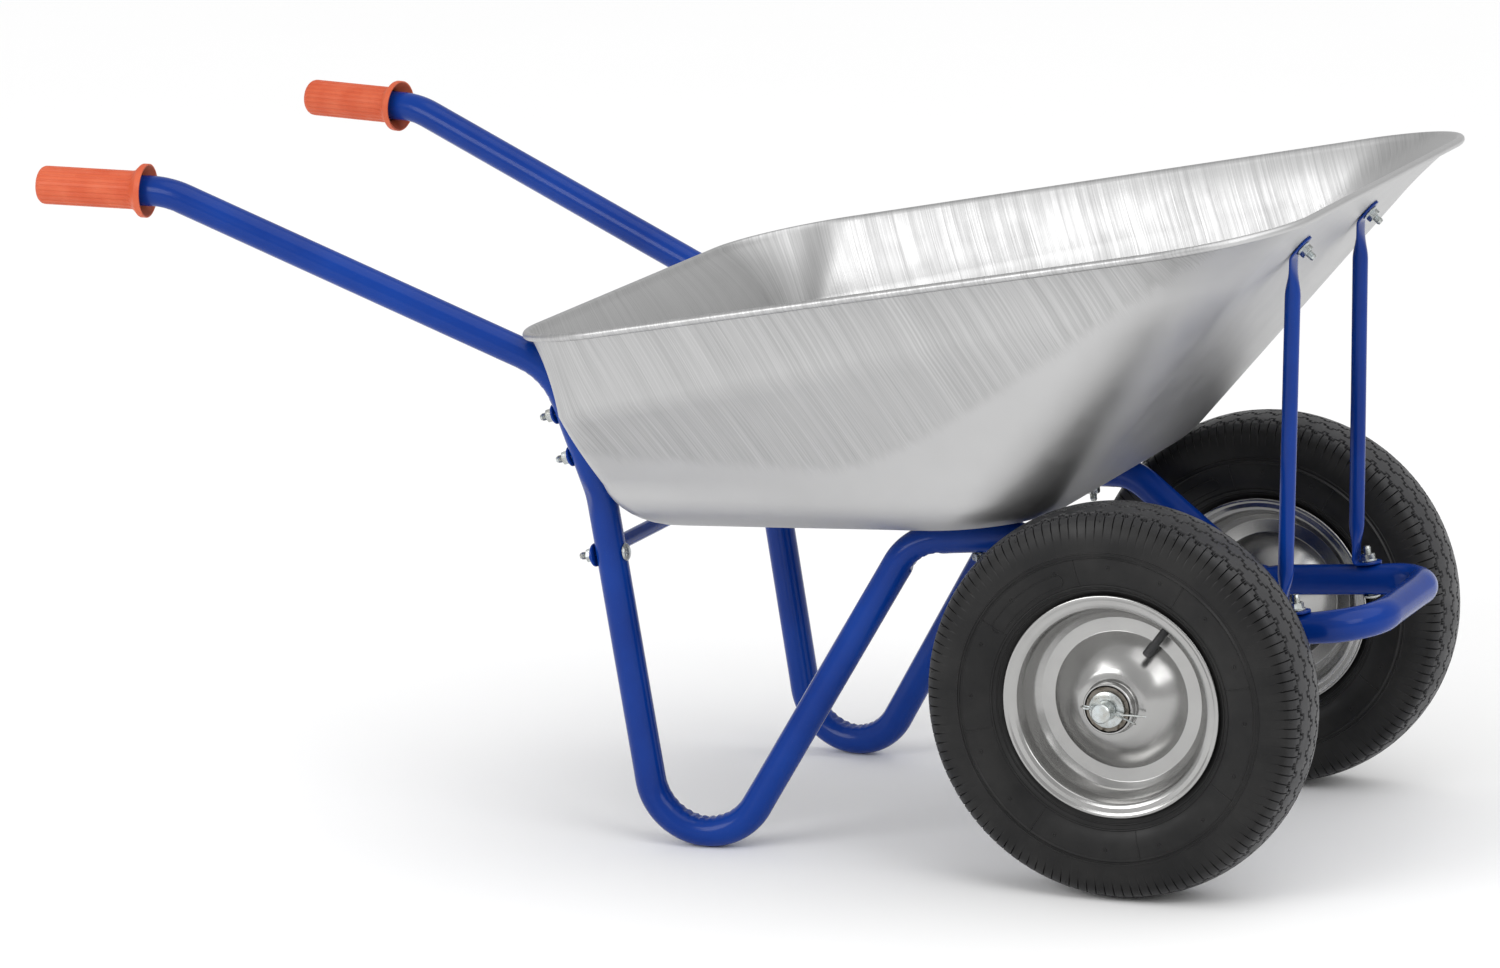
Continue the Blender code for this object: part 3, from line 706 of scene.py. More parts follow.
    def relief(self, height: bpy.types.NodeSocket, depth: float) -> None:
        """Raise the surface by a height pattern.

        Args:
            height: the pattern, from nought to one.
            depth: its height in metres.
        """
        bump = self.put("Bump", {"Height": height, "Distance": depth, "Strength": 1.0})
        self.feed(self.shader.inputs["Normal"], bump.outputs["Normal"])


@dataclass(frozen=True)
class GlossPaint:
    """Sprayed enamel: glossy, with a fine ripple, slightly uneven depth and dust specks."""

    colour: Colour = (0.0030, 0.038, 0.255, 1.0)
    deep: Colour = (0.0020, 0.027, 0.200, 1.0)
    dust: Colour = (0.040, 0.100, 0.340, 1.0)
    ripple: float = 0.00003

    def material(self) -> bpy.types.Material:
        """The material of the painted tubes."""
        board = Board("gloss_blue_enamel")
        base = board.blend(board.cloud(9.0, 4.0, 0.35, 0.65), self.deep, self.colour)
        specks = board.cloud(900.0, 2.0, 0.70, 0.78, 0.0, 0.5)
        board.dress(
            Base_Color=board.blend(specks, base, self.dust),
            Roughness=board.uneven(30.0, 4.0, 0.16, 0.25),
            Coat_Weight=0.07,
            Coat_Roughness=0.06,
            Specular_IOR_Level=0.15,
        )
        board.relief(board.grain(board.spot, 110.0, 1.0), self.ripple)
        return board.material


@dataclass(frozen=True)
class DrawnSheet:
    """Galvanised sheet: satin where it was stretched least, streaked where it was drawn."""

    colour: Colour = (0.510, 0.510, 0.510, 1.0)
    pale: Colour = (0.550, 0.550, 0.550, 1.0)
    shade: Colour = (0.300, 0.300, 0.300, 1.0)
    fine_streaks: tuple[float, float, float] = (560.0, 4.0, 1.0)
    broad_streaks: tuple[float, float, float] = (60.0, 2.2, 1.0)
    fine_share: float = 0.75
    streak_strength: float = 0.55
    tooth_depth: float = 0.00016

    def material(self) -> bpy.types.Material:
        """The material of the tray."""
        board = Board("drawn_galvanised_sheet")
        fine = board.grain(board.unwrapped(self.fine_streaks), 1.0, 4.0, 0.65)
        broad = board.grain(board.unwrapped(self.broad_streaks), 1.0, 3.0, 0.55)
        streak = board.sum(
            board.product(fine, self.fine_share), board.product(broad, 1.0 - self.fine_share)
        )
        rise = board.put("Attribute", {}, attribute_name="rise").outputs["Fac"]
        ragged = board.sum(rise, board.remap(fine, *MIDDLE_NOISE, -0.010, 0.010))
        drawn = board.remap(ragged, -0.003, 0.007)
        blotch = board.cloud(5.5, 3.0, *MIDDLE_NOISE)
        satin = board.blend(blotch, self.colour, self.pale)
        lines = board.blend(board.remap(streak, 0.36, 0.64), self.shade, self.pale)
        streak_gloss = board.remap(streak, 0.35, 0.65, 0.06, -0.06)
        board.dress(
            Base_Color=board.blend(board.product(drawn, self.streak_strength), satin, lines),
            Metallic=1.0,
            Roughness=board.sum(
                board.uneven(34.0, 5.0, 0.42, 0.48), board.product(drawn, streak_gloss)
            ),
        )
        tooth = board.product(streak, drawn)
        board.relief(board.sum(tooth, board.product(blotch, 0.6)), self.tooth_depth)
        return board.material


@dataclass(frozen=True)
class SpunSteel:
    """Pressed and plated wheel steel, with faint rings from the press tool."""

    colour: Colour = (0.40, 0.398, 0.392, 1.0)
    dull: Colour = (0.37, 0.368, 0.362, 1.0)
    ring_depth: float = 0.00001

    def material(self) -> bpy.types.Material:
        """The material of the wheel halves and hub tubes."""
        board = Board("pressed_wheel_steel")
        ring = board.put("CombineXYZ", {"X": board.from_axle()})
        rings = board.grain(ring.outputs["Vector"], 320.0, 2.0, 0.6)
        stains = board.cloud(22.0, 5.0, 0.35, 0.65, rough=0.6)
        board.dress(
            Base_Color=board.blend(stains, self.colour, self.dull),
            Metallic=1.0,
            Roughness=board.uneven(50.0, 4.0, 0.20, 0.26),
        )
        dents = board.product(board.grain(board.spot, 26.0, 2.0), 0.8)
        board.relief(board.sum(rings, dents), self.ring_depth)
        return board.material


@dataclass(frozen=True)
class TyreRubber:
    """Moulded black rubber: satin walls, with a dusty, duller tread."""

    colour: Colour = (0.0048, 0.0048, 0.0052, 1.0)
    dusty: Colour = (0.017, 0.0165, 0.016, 1.0)
    worn: Colour = (0.040, 0.040, 0.042, 1.0)
    tread_from: float = 0.186        # radius at which the tread's colour begins
    tread_full: float = 0.197
    tooth_depth: float = 0.00007

    def material(self) -> bpy.types.Material:
        """The material of the tyres."""
        board = Board("moulded_tyre_rubber")
        bloom = board.product(board.cloud(14.0, 5.0, 0.38, 0.66, rough=0.6), 0.7)
        wall = board.blend(bloom, self.colour, self.dusty)
        trodden = board.remap(board.from_axle(), self.tread_from, self.tread_full)
        board.dress(
            Base_Color=board.blend(trodden, wall, self.worn),
            Roughness=board.uneven(35.0, 4.0, 0.34, 0.50),
            Specular_IOR_Level=0.26,
        )
        board.relief(board.grain(board.spot, 800.0, 3.0), self.tooth_depth)
        return board.material


@dataclass(frozen=True)
class Mottled:
    """A cloudy mix of two colours, with uneven gloss and a fine tooth."""

    name: str
    colour: Colour
    other: Colour
    clouds: tuple[float, ...]    # scale, detail, and the range of the noise that is spread
    gloss: tuple[float, ...]     # scale, detail, least and most roughness
    tooth: tuple[float, ...]     # scale, detail, and depth in metres
    sockets: dict[str, object] = field(default_factory=dict)

    def material(self) -> bpy.types.Material:
        """The finish as a material."""
        board = Board(self.name)
        scale, detail, depth = self.tooth
        board.dress(
            Base_Color=board.blend(board.cloud(*self.clouds), self.colour, self.other),
            Roughness=board.uneven(*self.gloss),
            **self.sockets,
        )
        board.relief(board.grain(board.spot, scale, detail), depth)
        return board.material


@dataclass(frozen=True)
class ZincPlate(Mottled):
    """Bright zinc on fasteners and the axle, with a faint cloudy tint."""

    name: str = "bright_zinc_plate"
    colour: Colour = (0.56, 0.60, 0.61, 1.0)
    other: Colour = (0.40, 0.40, 0.37, 1.0)
    clouds: tuple[float, ...] = (120.0, 4.0, 0.35, 0.70)
    gloss: tuple[float, ...] = (300.0, 3.0, 0.20, 0.36)
    tooth: tuple[float, ...] = (700.0, 3.0, 0.00004)
    sockets: dict[str, object] = field(default_factory=lambda: {"Metallic": 1.0})


@dataclass(frozen=True)
class TubeRubber(Mottled):
    """Smooth black rubber of the valve stems and inner tubes."""

    name: str = "smooth_black_rubber"
    colour: Colour = (0.012, 0.012, 0.013, 1.0)
    other: Colour = (0.045, 0.045, 0.046, 1.0)
    clouds: tuple[float, ...] = (160.0, 4.0, 0.45, 0.75)
    gloss: tuple[float, ...] = (90.0, 3.0, 0.40, 0.56)
    tooth: tuple[float, ...] = (500.0, 2.0, 0.00005)


@dataclass(frozen=True)
class GripPlastic(Mottled):
    """Orange moulded plastic, a little chalky, with a fine matt skin."""

    name: str = "orange_moulded_plastic"
    colour: Colour = (0.54, 0.086, 0.030, 1.0)
    other: Colour = (0.60, 0.120, 0.050, 1.0)
    clouds: tuple[float, ...] = (45.0, 4.0, 0.35, 0.70)
    gloss: tuple[float, ...] = (120.0, 3.0, 0.42, 0.58)
    tooth: tuple[float, ...] = (900.0, 2.0, 0.00005)
    sockets: dict[str, object] = field(
        default_factory=lambda: {
            "Specular_IOR_Level": 0.32, "Subsurface_Weight": 0.05,
            "Subsurface_Radius": (0.004, 0.0015, 0.0008),
        }
    )


@dataclass(frozen=True)
class GroundSteel(Mottled):
    """Ground bearing steel with a film of grease."""

    name: str = "ground_bearing_steel"
    colour: Colour = (0.17, 0.155, 0.135, 1.0)
    other: Colour = (0.050, 0.040, 0.028, 1.0)
    clouds: tuple[float, ...] = (180.0, 4.0, 0.52, 0.72)
    gloss: tuple[float, ...] = (260.0, 3.0, 0.22, 0.38)
    tooth: tuple[float, ...] = (900.0, 2.0, 0.00002)
    sockets: dict[str, object] = field(default_factory=lambda: {"Metallic": 1.0})


@dataclass(frozen=True)
class StudioFloor:
    """Pale matt floor, faintly uneven."""

    colour: Colour = (0.935, 0.935, 0.935, 1.0)
    other: Colour = (0.925, 0.925, 0.925, 1.0)

    def material(self) -> bpy.types.Material:
        """The material of the floor."""
        board = Board("pale_floor")
        board.dress(
            Base_Color=board.blend(board.grain(board.spot, 1.5, 3.0), self.colour, self.other),
            Roughness=0.9,
            Specular_IOR_Level=0.1,
        )
        return board.material


class Paintbox:
    """All finishes of the barrow, one for each slot."""

    def __init__(self) -> None:
        """Make each finish once."""
        self.by_slot = {
            Slot.PAINT: GlossPaint().material(),
            Slot.SHEET: DrawnSheet().material(),
            Slot.ZINC: ZincPlate().material(),
            Slot.RIM: SpunSteel().material(),
            Slot.TYRE: TyreRubber().material(),
            Slot.TUBE: TubeRubber().material(),
            Slot.GRIP: GripPlastic().material(),
            Slot.BEARING: GroundSteel().material(),
        }

    def fit(
        self, piece: bpy.types.Object, slot: Slot, body: str, nodes: Sequence[str]
    ) -> None:
        """Paint a piece, set it on its body, and let it stand for CAD nodes.

        Args:
            piece: the finished piece.
            slot: its finish.
            body: the body that it rides on.
            nodes: the CAD nodes that it stands for.
        """
        piece.data.materials.clear()
        piece.data.materials.append(self.by_slot[slot])
        for face in piece.data.polygons:
            face.material_index = 0
        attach(piece, body)
        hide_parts(*nodes)
        LOG.info("%s: %d faces, on %s", piece.name, len(piece.data.polygons), body)

    def paint_node(self, node: str, slot: Slot) -> None:
        """Give a CAD node that stays its finish.

        Args:
            node: the node's name.
            slot: its finish.
        """
        piece = frame["nodes"][node]
        piece.data.materials.clear()
        piece.data.materials.append(self.by_slot[slot])
        LOG.info("%s: CAD solid kept, painted %s", node, slot.value)


# ---- the frame tube -------------------------------------------------------------------
@dataclass(frozen=True)
class Bend:
    """A corner of the tube on one side, and how the bending tool left it."""

    corner: Vector
    radius: float = 0.0
    crush: float = 0.0
    ripples: float = 0.0


@dataclass
class FrameRoute:
    """The tube's middle line, its straight runs and what is bolted to them."""

    tube_radius: float = 0.016
    grip_end: Bend = Bend(Vector((-1.157, 0.3089, 0.6822)))
    handle: Bend = Bend(Vector((-1.021, 0.2928, 0.6777)), 0.100, 0.12)
    shoulder: Bend = Bend(Vector((-0.6145, 0.2332, 0.5027)), 0.075, 0.16, 0.0006)
    knee: Bend = Bend(Vector((-0.5766, 0.2109, 0.3701)), 0.110, 0.12)
    foot: Bend = Bend(Vector((-0.5060, 0.2060, -0.1028)), 0.062, 0.11, 0.0011)
    tray_rear: Bend = Bend(Vector((-0.2460, 0.1757, 0.3352)), 0.060, 0.20, 0.0010)
    tray_front: Bend = Bend(Vector((-0.1300, 0.1600, 0.3418)), 0.060, 0.10)
    dip: Bend = Bend(Vector((0.0110, 0.1370, 0.2402)), 0.055, 0.26, 0.0012)
    loop: Bend = Bend(Vector((0.2175, 0.1050, 0.2620)), 0.058, 0.22)
    rear_bolt_shares: dict[str, float] = field(
        default_factory=lambda: {"upper": 0.34, "lower": 0.68}
    )
    brace_share: float = 0.135
    floor_bolt_share: float = 0.58
    strut_foot_share: float = 0.650
    strut_y: float = 0.1080

    def bends(self) -> list[Bend]:
        """The bends of one side, from the grip to the front loop."""
        return [
            self.handle, self.shoulder, self.knee, self.foot,
            self.tray_rear, self.tray_front, self.dip, self.loop,
        ]

    def across(self, start: Bend, end: Bend) -> Vector:
        """The direction square to a straight run in the side view, upward or forward.

        Args:
            start: the bend that the run starts from.
            end: the bend that it ends at.

        Returns:
            The direction.
        """
        run = end.corner - start.corner
        normal = Vector((-run.z, 0.0, run.x)).normalized()
        return -normal if normal.x + normal.z < 0.0 else normal

    def brace_end(self) -> Vector:
        """The point of the rear leg's axis where the brace is bolted."""
        return self.knee.corner.lerp(self.foot.corner, self.brace_share)

    def floor_bolt(self) -> Vector:
        """The point of the upper run's axis where the tray floor is bolted."""
        return self.tray_rear.corner.lerp(self.tray_front.corner, self.floor_bolt_share)

    def strut_foot(self) -> Vector:
        """The point of the front run's axis where the strut is bolted."""
        return self.dip.corner.lerp(self.loop.corner, self.strut_foot_share)


@dataclass
class FrameTube:
    """The bent tube, with flattened and rippled inner sides at its bends."""

    route: FrameRoute
    sides: int = 36
    longest_step: float = 0.012
    bend_step_degrees: float = 3.0
    bend_shoulder: float = 0.014     # length past an arc over which a bend's mark fades
    full_share: float = 0.6          # share of an arc's half length where it is at its full
    bulge: float = 0.30              # how much a crushed bend widens, for its crush
    ripple_pitch: float = 0.011

    def line(self) -> list[Vector]:
        """The tube's middle line.

        Returns:
            Its points, from the right grip to the left one.
        """
        bends = self.route.bends()
        corners = [self.route.grip_end, *bends]
        right = [at(bend.corner, Side.RIGHT) for bend in corners]
        left = [at(bend.corner, Side.LEFT) for bend in reversed(corners)]
        radii = [bend.radius for bend in bends]
        bent = rounded_line(right + left, radii + radii[::-1], self.bend_step_degrees)
        return evened(bent, self.longest_step)

    def marks(self) -> list[tuple[Vector, Vector, float, Bend]]:
        """What the bending tool left, on both sides.

        Returns:
            Each bend's middle, inward direction, half length and shape.
        """
        found = []
        for side in Side:
            bends = self.route.bends()
            points = [at(bend.corner, side) for bend in (self.route.grip_end, *bends)]
            points.append(at(self.route.loop.corner, Side(-side.value)))
            for bend, before, here, after in zip(bends, points, points[1:], points[2:]):
                to_before = (before - here).normalized()
                to_after = (after - here).normalized()
                inward = (to_before + to_after).normalized()
                half_angle = to_before.angle(to_after) / 2.0
                middle = here + inward * (bend.radius / math.sin(half_angle) - bend.radius)
                half_length = bend.radius * (math.pi / 2.0 - half_angle)
                found.append((middle, inward, half_length, bend))
        return found

    def build(self) -> bpy.types.Object:
        """Sweep the tube's skin along its line.

        Returns:
            The tube.
        """
        stations = stations_along(self.line(), LEFTWARD)
        near: list[tuple[Vector, float, float, Bend] | None] = []
        marks = self.marks()
        for station in stations:
            middle, inward, half_length, bend = min(
                marks, key=lambda mark: (mark[0] - station.middle).length
            )
            away = (station.middle - middle).length
            fading = (1.0 - self.full_share) * half_length + self.bend_shoulder
            strength = eased(1.0 - held((away - self.full_share * half_length) / fading))
            near.append((inward, away, strength, bend) if strength > 0.0 else None)

        def reach(index: int, angle: float) -> tuple[float, float]:
            """The skin's reach across the tube at a station and angle."""
            station = stations[index]
            across, other = math.cos(angle), math.sin(angle)
            radius = self.route.tube_radius
            if near[index]:
                inward, away, strength, bend = near[index]
                way = station.across * across + station.other * other
                facing = way.dot(inward)
                flat = 1.0 - bend.crush * strength
                radius *= 1.0 + self.bulge * bend.crush * strength * (1.0 - abs(facing))
                if facing > 0.0:
                    radius = min(radius, self.route.tube_radius * flat / max(facing, 0.05))
                    wave = math.cos(away * FULL_TURN / self.ripple_pitch) * strength
                    radius -= bend.ripples * wave * facing ** 4
            return radius * across, radius * other

        tube = swept("frame_tube_bent", stations, reach, self.sides)
        soften(tube, 40.0)
        return tube


# ---- stays ----------------------------------------------------------------------------
@dataclass
class Stays:
    """Front struts and rear brace: 16 mm tube pressed flat where it is bolted."""

    route: FrameRoute
    radius: float = 0.008
    flat_half: float = 0.0017
    flat_half_width: float = 0.0122
    toe: float = 0.0140
    heel: float = 0.0170
    taper: float = 0.036
    gap: float = 0.0003
    longest_step: float = 0.0025
    front_slope: float = math.radians(50.0)
    front_wall: Vector = field(default_factory=lambda: Vector((0.1465, 0.0, 0.6430)))
    sides: int = 32

    def wall_normal(self) -> Vector:
        """The direction out of the tray's front wall."""
        return Vector((math.sin(self.front_slope), 0.0, -math.cos(self.front_slope)))

    def strut_head(self) -> Vector:
        """The point of the front wall where the strut is bolted."""
        return Vector((self.front_wall.x, self.route.strut_y, self.front_wall.z))

    def section(self, roundness: float, end_share: float, angle: float) -> tuple[float, float]:
        """The reach of the section, from pressed flat to round.

        Args:
            roundness: nought where the tube is flat, one where it is round.
            end_share: the share of the width that is left at the rounded end of a flat.
            angle: the angle round the section.

        Returns:
            The reach through the thickness and across the width.
        """
        blend = eased(roundness)
        thick = self.flat_half + (self.radius - self.flat_half) * blend
        wide = (self.flat_half_width + (self.radius - self.flat_half_width) * blend) * end_share
        power = 0.45 + 0.55 * blend
        across = math.copysign(abs(math.cos(angle)) ** power, math.cos(angle))
        pinch = 1.0 - 0.35 * math.sin(math.pi * roundness) * abs(math.sin(angle)) ** 3
        return thick * across * pinch, wide * math.sin(angle)

    def bar(self, name: str, line: list[Vector], wide_way: Vector) -> bpy.types.Object:
        """A stay along a line whose two ends are flats.

        Args:
            name: the piece's name.
            line: the middle line, with a fillet at each flat's heel.
            wide_way: the direction that the flats are wide in.

        Returns:
            The stay.
        """
        evenly = evened(line, self.longest_step)
        distance = [0.0]
        for start, end in zip(evenly, evenly[1:]):
            distance.append(distance[-1] + (end - start).length)
        length = distance[-1]
        stations = []
        for index, middle in enumerate(evenly):
            before = evenly[max(index - 1, 0)]
            after = evenly[min(index + 1, len(evenly) - 1)]
            tangent = (after - before).normalized()
            stations.append(Station(middle, tangent.cross(wide_way).normalized(), wide_way))
        flat_length = self.toe + self.heel

        def reach(index: int, angle: float) -> tuple[float, float]:
            """The skin's reach at a station and angle."""
            from_end = min(distance[index], length - distance[index])
            roundness = held((from_end - flat_length) / self.taper)
            inside = min(1.0, from_end / self.flat_half_width)
            end_share = math.sqrt(max(0.02, 1.0 - (1.0 - inside) ** 2))
            return self.section(roundness, end_share, angle)

        stay = swept(name, stations, reach, self.sides)
        soften(stay, 45.0)
        return stay

    def strut(self, side: Side) -> bpy.types.Object:
        """One front strut, from the loop up to the tray's front wall.

        Args:
            side: the side that it stands on.

        Returns:
            The strut.
        """
        run_normal = self.route.across(self.route.dip, self.route.loop)
        low_way = Vector((run_normal.z, 0.0, -run_normal.x))
        high_way = Vector((math.cos(self.front_slope), 0.0, math.sin(self.front_slope)))
        lift = self.route.tube_radius + self.gap + self.flat_half
        low = self.route.strut_foot() + run_normal * lift
        high = self.strut_head() + self.wall_normal() * (self.gap + self.flat_half)
        low.y = self.route.strut_foot().y
        corners = [
            low + low_way * self.toe, low - low_way * 0.0135,
            high - high_way * 0.0130, high + high_way * self.toe,
        ]
        line = rounded_line([at(corner, side) for corner in corners], [0.0045, 0.0080], 15.0)
        return self.bar(f"front_strut_{side.label}_pressed", line, LEFTWARD)

    def brace(self) -> bpy.types.Object:
        """The brace between the rear legs."""
        normal = self.route.across(self.route.knee, self.route.foot)
        end = self.route.brace_end() - normal * (self.route.tube_radius + self.gap + self.flat_half)
        tip = end + LEFTWARD * self.toe
        wide_way = normal.cross(LEFTWARD).normalized()
        return self.bar("rear_brace_pressed", [at(tip, Side.RIGHT), at(tip, Side.LEFT)], wide_way)


# ---- tray -----------------------------------------------------------------------------
@dataclass
class Tray:
    """The pressed tray: flat floor, sloping walls and a rim rolled to a bead."""

    route: FrameRoute
    stays: Stays
    sheet: float = 0.0012
    clearance: float = 0.0008
    rear_rim: Vector = field(default_factory=lambda: Vector((-0.6300, 0.0, 0.5415)))
    rear_knee_z: float = 0.5060
    front_rim: Vector = field(default_factory=lambda: Vector((0.1960, 0.0, 0.6908)))
    taper: float = 0.0080
    floor_half_width: float = 0.2450
    floor_z: float = 0.3480
    side_knee: tuple[float, float] = (0.3390, 0.5980)
    side_rim: tuple[float, float] = (0.3560, 0.6175)
    bead_radius: float = 0.0042
    bead_out: float = 0.0040
    bead_up: float = 0.0022
    corner_steps: int = 18
    arc_steps: int = 9
    side_steps: tuple[int, int] = (14, 34)   # across an end wall, along a side wall
    floor_rings: int = 7
    straight_steps: int = 8
    rim_ease: float = 0.90           # share of the rim's flare that its bend takes up
    streak_lean: float = 0.38
    band_low: float = 0.420          # height of the drawn band's lower edge at the rear
    band_turn: float = -0.30         # from here forward the edge climbs
    band_climb: float = 0.72
    band_blend: float = 0.10
    measured_level: int = -8         # the level of the outer skin that streaks are spaced on

    def meet(self, first: Vector, first_way: Vector, second: Vector, second_way: Vector) -> Vector:
        """Where two lines of the side view cross.

        Args:
            first: a point of the first line.
            first_way: the first line's direction.
            second: a point of the second line.
            second_way: the second line's direction.

        Returns:
            The crossing.
        """
        cross = first_way.x * second_way.z - first_way.z * second_way.x
        gap = second - first
        return first + first_way * ((gap.x * second_way.z - gap.z * second_way.x) / cross)

    def arc_line(self, corners: list[Vector], first_radius: float) -> list[Vector]:
        """A rounded line with the same number of points whatever its angles.

        Args:
            corners: the line's four corners.
            first_radius: the radius of its first bend; the second one fills the rim's flare.

        Returns:
            The points, with straight stretches divided evenly.
        """
        line = [corners[0].copy()]
        for corner, before, after in zip(corners[1:-1], corners, corners[2:]):
            to_before = (before - corner).normalized()
            to_after = (after - corner).normalized()
            half = to_before.angle(to_after) / 2.0
            radius = first_radius
            if after is corners[-1]:
                radius = self.rim_ease * (after - corner).length * math.tan(half)
            reach = radius / math.tan(half)
            centre = corner + (to_before + to_after).normalized() * (radius / math.sin(half))
            first = (corner + to_before * reach - centre).normalized()
            last = (corner + to_after * reach - centre).normalized()
            sweep = first.angle(last)
            start = centre + first * radius
            parts = self.straight_steps
            line += [line[-1].lerp(start, part / parts) for part in range(1, parts)]
            for step in range(self.arc_steps + 1):
                turn = sweep * step / self.arc_steps
                way = first * math.sin(sweep - turn) + last * math.sin(turn)
                line.append(centre + way * (radius / math.sin(sweep)))
        line.append(corners[-1].copy())
        return line

    def outlines(self, inset: float) -> tuple[list[Vector], list[Vector], list[Vector]]:
        """Rear, front and side wall lines from the floor's edge to the rim.

        Args:
            inset: how far inside the outer skin they lie.

        Returns:
            The three lines; the side one holds half width as x and height as z.
        """
        route = self.route
        floor_normal = route.across(route.tray_rear, route.tray_front)
        rear_normal = route.across(route.shoulder, route.knee)
        wall_normal = self.stays.wall_normal()
        lift = route.tube_radius + self.clearance + inset
        floor_way = Vector((floor_normal.z, 0.0, -floor_normal.x))
        floor_point = route.tray_rear.corner + floor_normal * lift
        floor_point.y = 0.0
        rear_way = Vector((-rear_normal.z, 0.0, rear_normal.x))
        rear_point = route.knee.corner + rear_normal * lift
        rear_point.y = 0.0
        slope = self.stays.front_slope
        front_way = Vector((math.cos(slope), 0.0, math.sin(slope)))
        front_point = self.stays.front_wall - wall_normal * inset
        rear_corner = self.meet(floor_point, floor_way, rear_point, rear_way)
        rear_knee = rear_point + rear_way * ((self.rear_knee_z - rear_point.z) / rear_way.z)
        rear_rim = self.rear_rim + Vector((0.6, 0.0, 0.8)) * inset
        front_corner = self.meet(floor_point, floor_way, front_point, front_way)
        front_knee = front_point + front_way * 0.0235
        front_rim = self.front_rim + Vector((-0.5, 0.0, 0.85)) * inset
        rear = self.arc_line(
            [rear_corner + floor_way * 0.070, rear_corner, rear_knee, rear_rim],
            0.066 - inset,
        )
        front = self.arc_line(
            [front_corner - floor_way * 0.080, front_corner, front_knee, front_rim],
            0.110 - inset,
        )
        side = self.arc_line(
            [
                Vector((self.floor_half_width - 0.060, 0.0, self.floor_z + inset)),
                Vector((self.floor_half_width - 0.6 * inset, 0.0, self.floor_z + inset)),
                Vector((self.side_knee[0] - inset, 0.0, self.side_knee[1])),
                Vector((self.side_rim[0] - inset, 0.0, self.side_rim[1])),
            ],
            0.060 - inset,
        )
        return rear, front, side

    def ring(
        self, rear: Vector, front: Vector, half_width: float, share: float, inset: float
    ) -> list[tuple[Vector, Vector]]:
        """One level of the tray, as points with their outward directions.

        Args:
            rear: the level's rearmost point.
            front: its foremost point.
            half_width: half its width, half way along.
            share: its share of the height.
            inset: how far inside the outer skin it lies.

        Returns:
            The level's points, anticlockwise from the front.
        """
        rear_radius = 0.022 + 0.098 * share ** 3 - inset
        front_radius = 0.090 + 0.035 * share - inset
        rear_half = half_width - self.taper
        front_half = half_width + self.taper
        corners = [
            (front.x - front_radius, front_half - front_radius, front_radius, 0.0),
            (rear.x + rear_radius, rear_half - rear_radius, rear_radius, 90.0),
            (rear.x + rear_radius, -rear_half + rear_radius, rear_radius, 180.0),
            (front.x - front_radius, -front_half + front_radius, front_radius, 270.0),
        ]
        flat: list[tuple[Vector, Vector]] = []
        for number, (middle_x, middle_y, radius, first_angle) in enumerate(corners):
            for step in range(self.corner_steps + 1):
                turn = math.radians(first_angle + 90.0 * step / self.corner_steps)
                way = Vector((math.cos(turn), math.sin(turn), 0.0))
                flat.append((Vector((middle_x, middle_y, 0.0)) + way * radius, way))
            after = corners[(number + 1) % 4]
            turn = math.radians(after[3])
            way = Vector((math.cos(turn), math.sin(turn), 0.0))
            target = Vector((after[0], after[1], 0.0)) + way * after[2]
            start = flat[-1][0]
            steps = self.side_steps[1] if number % 2 == 0 else self.side_steps[0]
            flat += [(start.lerp(target, part / steps), way) for part in range(1, steps)]
        level = []
        for point, way in flat:
            along = (point.x - rear.x) / (front.x - rear.x)
            height = rear.z + (front.z - rear.z) * along
            level.append((at(Vector((point.x, point.y, height))), way))
        return level

    def skin(self, inset: float) -> list[list[tuple[Vector, Vector]]]:
        """All levels of one skin, from the floor to the rim.

        Args:
            inset: how far inside the outer skin it lies.

        Returns:
            The levels.
        """
        rear, front, side = self.outlines(inset)
        levels = []
        for low, high, edge in zip(rear, front, side):
            share = (low.z - rear[1].z) / (rear[-1].z - rear[1].z)
            levels.append(self.ring(low, high, edge.x, max(0.0, share), inset))
        floor = []
        middle = sum((point for point, _ in levels[0]), Vector()) / len(levels[0])
        for number in range(self.floor_rings):
            share = number / self.floor_rings
            floor.append([(middle.lerp(point, share), way) for point, way in levels[0]])
        return floor + levels

    def oil_can(self, point: Vector) -> Vector:
        """Move a point of the sheet a little, by the soft waves of pressed metal.

        Args:
            point: the point.

        Returns:
            The moved point, which stays put near the floor and the rim.
        """
        above_floor = held((point.z - 0.37) / 0.10)
        below_rim = held((0.60 - point.z + 0.1 * point.x) / 0.10)
        strength = above_floor * below_rim
        wave = noise.noise(point * 7.0) * 0.0009 + noise.noise(point * 17.0) * 0.0003
        outward = Vector((0.0, math.copysign(1.0, point.y) if abs(point.y) > 0.02 else 0.0, 0.0))
        return point + outward * wave * strength

    def rise(self, point: Vector) -> float:
        """How far a point lies above the lower edge of the drawn, streaked band.

        Args:
            point: a point of the sheet.

        Returns:
            The height, below nought under the band.
        """
        past = max(0.0, point.x - AXLE.x - self.band_turn)
        return point.z - self.band_low - self.band_climb * past ** 2 / (past + self.band_blend)

    def build(self) -> bpy.types.Object:
        """Lay the sheet from the middle of its inside, over the rolled rim, to its underside.

        Returns:
            The tray.
        """
        inner = self.skin(self.sheet)
        outer = self.skin(0.0)
        bead = []
        for angle in range(150, -146, -22):
            turn = math.radians(angle)
            level = []
            for point, way in outer[-1]:
                centre = point + way * self.bead_out + UP * self.bead_up
                reach = way * math.cos(turn) + UP * math.sin(turn)
                level.append((centre + reach * self.bead_radius, way))
            bead.append(level)
        levels = inner + bead + outer[::-1]
        count = len(levels[0])
        measured = outer[self.measured_level]
        around = [0.0]
        for index in range(count):
            here = measured[index][0]
            following = measured[(index + 1) % count][0]
            around.append(around[-1] + (following - here).length)

